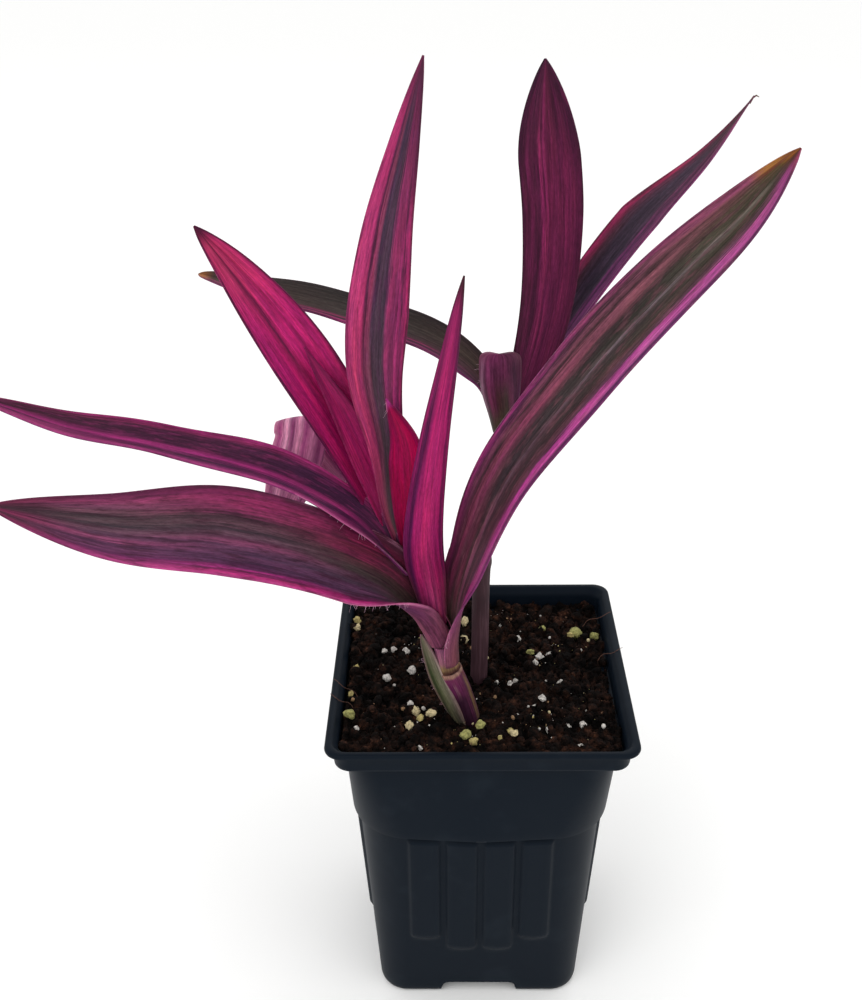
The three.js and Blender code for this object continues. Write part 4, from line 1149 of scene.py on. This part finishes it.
# ---------------- upright wine leaf
# The upright blade of the back shoot, deep plum with a lighter magenta midrib and fine streaks.
skin = striped_skin(
    "plum_leaf",
    {
        8: "0#43162f 30#531b3a 50#5f2041 70#4c1a34 100#562038",
        30: "0#43142d 12#4d1634 26#44142f 33#631b41 38#77224c 42#4c1434 47#701f48 55#56163a 75#5f183d "
            "92#531436 100#41112b",
        65: "0#461431 6#4c1632 16#5f1a3f 24#43142f 31#55183a 35#97295e 38#5f183b 42#872556 45#561436 "
            "56#681b43 66#5a163a 76#6e1b46 86#5f183d 95#511436 100#44132f",
        97: "0#36132b 38#4c1b36 44#7c254f 50#511a34 100#36132b",
    },
    {0: "#3a122c #471432 #601a3f #471432 #3a122c"},
    12.5, width=17, length=110, wander=0.015, flecks=("#5e1840", 0.5),
)
grow_leaf(
    "leaf_upright_wine", "back_leaf_upright", skin,
    [(8, -1, 205.5), (14.5, 1, 225), (19, 4, 247), (20, 8, 271), (18, 12, 294), (17, 14, 313)],
    [(-0.1, -1, 0.2), (0, -1, 0.2)],
    base=4.5, wide=9, at=0.75, full=1.8, point=0.87, curl=0.4, curl_base=1.6, sheath=0.25, fold=8, wave=0.4,
    waves=2,
)


# ---------------- dark right leaf
# A slate-purple blade of the back shoot that leans out to the right, magenta along its upper
# margin and purple below, with a tiny, dried, hooked tip.
skin = striped_skin(
    "slate_purple_leaf",
    {
        6: "0#77234c 30#552140 60#672c57 80#8f4681 100#672c66",
        40: "0#8b234c 4#ac3062 10#772848 17#432a37 30#3a2c3d 46#342a39 56#453048 63#773568 68#50284e "
            "80#79376a 90#5e2855 96#9b4b7f 100#55254a",
        75: "0#792844 5#9b3057 13#572e42 30#433544 50#483746 62#673955 75#512e46 90#7d3e62 100#4e2842",
        97: "#5e3542 #553e42 #703e53",
    },
    {0: "#7a2f62 #652a57 #903f79 #652a57 #903a75"},
    13.6, width=15, length=125, wander=0.02, flecks=("#4a3648", 0.4),
)
grow_leaf(
    "leaf_dark_right", "back_leaf_right", skin,
    [(9.5, 2.5, 206), (18.5, 6.5, 225), (31.6, 13, 244.3), (49.9, 23, 265.1), (67.5, 31, 281.6),
     (81.4, 38, 298)],
    [(-0.7, -0.5, 0.3), (-0.5, -0.5, 0.65)],
    base=4.5, wide=8.2, at=0.6, full=1.1, point=1.4, curl=0.5, curl_base=1.6, sheath=0.2, fold=14, wave=0.3,
    waves=2,
)


# ---------------- dark left leaf
# A dark olive blade of the back shoot that runs out to the left behind the others, with a magenta
# strip along its lower margin and a brown hooked tip.
skin = striped_skin(
    "dark_olive_leaf",
    {
        6: "0#53254a 40#53323c 70#4e3e38 100#412e31",
        50: "0#3a1b31 5#9b2a64 11#af3274 16#482135 22#3a2331 27#9d3066 32#6c2a48 40#3f3233 60#433c3a "
            "85#393432 100#2f2c2c",
        95: "0#532e38 20#89325d 35#4e3a35 100#3f3433",
        99: "#b37446 #7b4b2a",
    },
    {0: "#802c68 #5a2e54 #6d325e #5a2e54 #6d2c5e"},
    14.4, width=15, length=105, wander=0.02, flecks=("#3a3430", 0.3),
)
grow_leaf(
    "leaf_dark_left", "back_leaf_left", skin,
    [(4.5, 4, 208), (-1.5, 8, 221.3), (-17, 12, 231.2), (-45, 17, 239.2), (-70, 22, 244), (-87.3, 26, 248.2)],
    [(0.6, -0.4, 0.4), (0.15, -0.35, 0.9), (0.1, -0.3, 0.9)],
    base=3.6, wide=7.6, at=0.3, full=2.8, point=0.6, curl=0.5, curl_base=1.6, sheath=0.2, fold=10, wave=0.3,
    waves=3,
)


# ---------------- cupped leaf base
# The rolled, clasping base of a leaf at the back shoot's top joint: a short funnel, purple outside
# with a grey-olive middle and pale papery margins.
cupped_back = {
    5: "0#4e3a3a 25#403e2a 50#46462e 80#443a2e 100#4e3536",
    45: "0#92787d 4#59304d 15#471f38 30#592640 40#42322e 52#4c2b30 62#592640 72#753053 80#51243c 88#83526c "
        "100#643253",
    80: "0#815968 5#4e223a 25#431d34 42#622647 60#4e1f3a 70#7f3560 78#5b2445 86#925b79 92#66324f "
        "100#753c5c",
    97: "0#623a4b 30#592642 60#702b53 100#814660",
}
skin = striped_skin(
    "rolled_purple_leaf_base", cupped_back, cupped_back,
    15.8, width=16, length=27, wander=0.02,
)
grow_leaf(
    "leaf_cupped_base", "back_leaf_cupped", skin,
    [(6.6, -4.3, 207), (6.1, -5.6, 215), (5.1, -6.6, 224), (4.8, -6, 234.1)],
    [(0, 1, 0.1), (0.1, 1, 0.2)],
    base=4.3, wide=8.1, at=0.8, full=4, point=0.35, curl=1.3, curl_base=1.5, sheath=0.5, fold=0,
)


# ---------------- margin hairs
# Soft hairs of 0.6 to 2 mm, 0.1 mm thick at the root, that fringe the leaf margins where they clasp
# the shoot, and the pale thickened margin that they grow on. They let light through and look pink.
hair_skin, _, _ = new_material(
    "white_leaf_hair", {"Base Color": linear("#d4a8bc"), "Roughness": 0.6, "Specular IOR Level": 0.3}
)
margin_skin, _, _ = new_material(
    "pink_leaf_margin", {"Base Color": linear("#b05c84"), "Roughness": 0.6, "Specular IOR Level": 0.2}
)
# Each fringe: leaf, margin (0 for the one at u = 1, 1 for the other), from and to along it, hairs.
FRINGES = [
    ("leaf_far_left_lower", 1, 0.16, 0.36, 24), ("leaf_far_left_lower", 0, 0.02, 0.12, 10),
    ("leaf_far_left_upper", 0, 0.04, 0.22, 18), ("leaf_far_left_upper", 1, 0.1, 0.3, 10),
    ("leaf_long_right", 1, 0.01, 0.2, 14), ("leaf_long_right", 0, 0.01, 0.1, 10),
    ("old_sheath_flap", 0, 0.2, 1, 16), ("leaf_cupped_base", 0, 0.3, 0.95, 8),
    ("leaf_small_crimson", 1, 0.93, 0.99, 3),
]
HAIR_DROOP = np.array([0, 0, -0.25])
HAIR_POINTS = 5
hair_rng = np.random.default_rng(33)
hair_steps = np.linspace(0, 1, HAIR_POINTS)[:, None]
hairs, rims = [], []
for leaf, margin, start, end, count in FRINGES:
    edge, other = leaf_margins[leaf][margin], leaf_margins[leaf][1 - margin]
    stations = np.linspace(0, 1, len(edge))
    for share in hair_rng.uniform(start, end, count):
        root, across = (
            np.array([np.interp(share, stations, line[:, k]) for k in range(3)]) for line in (edge, other)
        )
        outward = (root - across) / np.linalg.norm(root - across) + hair_rng.normal(0, 0.4, 3)
        outward /= np.linalg.norm(outward)
        reach = hair_rng.uniform(0.6, 2)
        hair = root + outward * reach * hair_steps + HAIR_DROOP * reach * hair_steps**2
        hairs.append((hair, np.linspace(0.05, 0.02, HAIR_POINTS)))
    inside = (stations >= start) & (stations <= end)
    rims.append((edge[inside], np.full(int(inside.sum()), 0.13)))
# The dark right leaf ends in a dried hook.
hook = np.array([(80, 37.4, 296), (81, 37.9, 297.6), (82, 38.2, 298.1), (82.9, 38.4, 297.6)])
run_strands("dried_points", [(hook, (0.35, 0.3, 0.25, 0.12))], 6, fibre_skin)
run_strands("margin_hairs", hairs, 3, hair_skin)
run_strands("pale_margins", rims, 6, margin_skin)


# ---------------- studio
# Not part of the plant: the camera at the photograph's place, a plain pale floor, and soft light
# from above the front left.
camera_place = Vector((-0.0108, -0.3458, 0.3701))
yaw, pitch, roll = math.radians(0.8), math.radians(28.49), math.radians(0.64)
right = Vector((math.cos(yaw), math.sin(yaw), 0))
level = Vector((-math.sin(yaw), math.cos(yaw), 0))
forward = level * math.cos(pitch) + Vector((0, 0, -math.sin(pitch)))
down = Vector((0, 0, -math.cos(pitch))) - level * math.sin(pitch)
rolled_right = right * math.cos(roll) + down * math.sin(roll)
rolled_down = down * math.cos(roll) - right * math.sin(roll)
camera_data = bpy.data.cameras.new("camera")
camera_data.lens = 44.86
camera_data.sensor_width = 36
camera_data.clip_start = 0.01
camera = add_object("camera", camera_data)
axes = Matrix((rolled_right, -rolled_down, -forward)).transposed().to_4x4()
camera.matrix_world = Matrix.Translation(camera_place) @ axes
bpy.context.scene.camera = camera
bpy.context.scene.view_settings.view_transform = "Standard"

# Matt paint gives an even white with soft shadows.
FLOOR_HALF, FLOOR_DROP = 6, 0.0002  # metres; the floor lies just under the pot's foot
floor_paint, _, _ = new_material(
    "matt_white_floor_paint", {"Base Color": linear("#fdfdfc"), "Roughness": 0.9, "Specular IOR Level": 0.1}
)
floor_mesh = bpy.data.meshes.new("floor")
corners = [(x * FLOOR_HALF, y * FLOOR_HALF, -FLOOR_DROP) for x, y in ((-1, -1), (1, -1), (1, 1), (-1, 1))]
floor_mesh.from_pydata(corners, [], [(0, 1, 2, 3)])
floor_mesh.materials.append(floor_paint)
add_object("floor", floor_mesh)

world = bpy.data.worlds.new("soft_room")
world.use_nodes = True
feed(world.node_tree.nodes["Background"], {"Color": linear("#ffffff"), "Strength": 1.0})
bpy.context.scene.world = world

PLANT_MIDDLE = Vector((0, 0, 0.15))
# Each softbox: its place and width in metres, and its watts.
for name, place, width, watts in (
    ("key_softbox", (-0.7, -0.9, 1.3), 0.9, 5),
    ("fill_softbox", (0.9, -0.5, 0.9), 0.8, 1.5),
    ("back_softbox", (0.2, 1.1, 1.1), 0.8, 1.5),
):
    lamp = bpy.data.lights.new(name, "AREA")
    lamp.size = width
    lamp.energy = watts
    light = add_object(name, lamp)
    light.location = place
    light.rotation_euler = (PLANT_MIDDLE - Vector(place)).to_track_quat("-Z", "Y").to_euler()
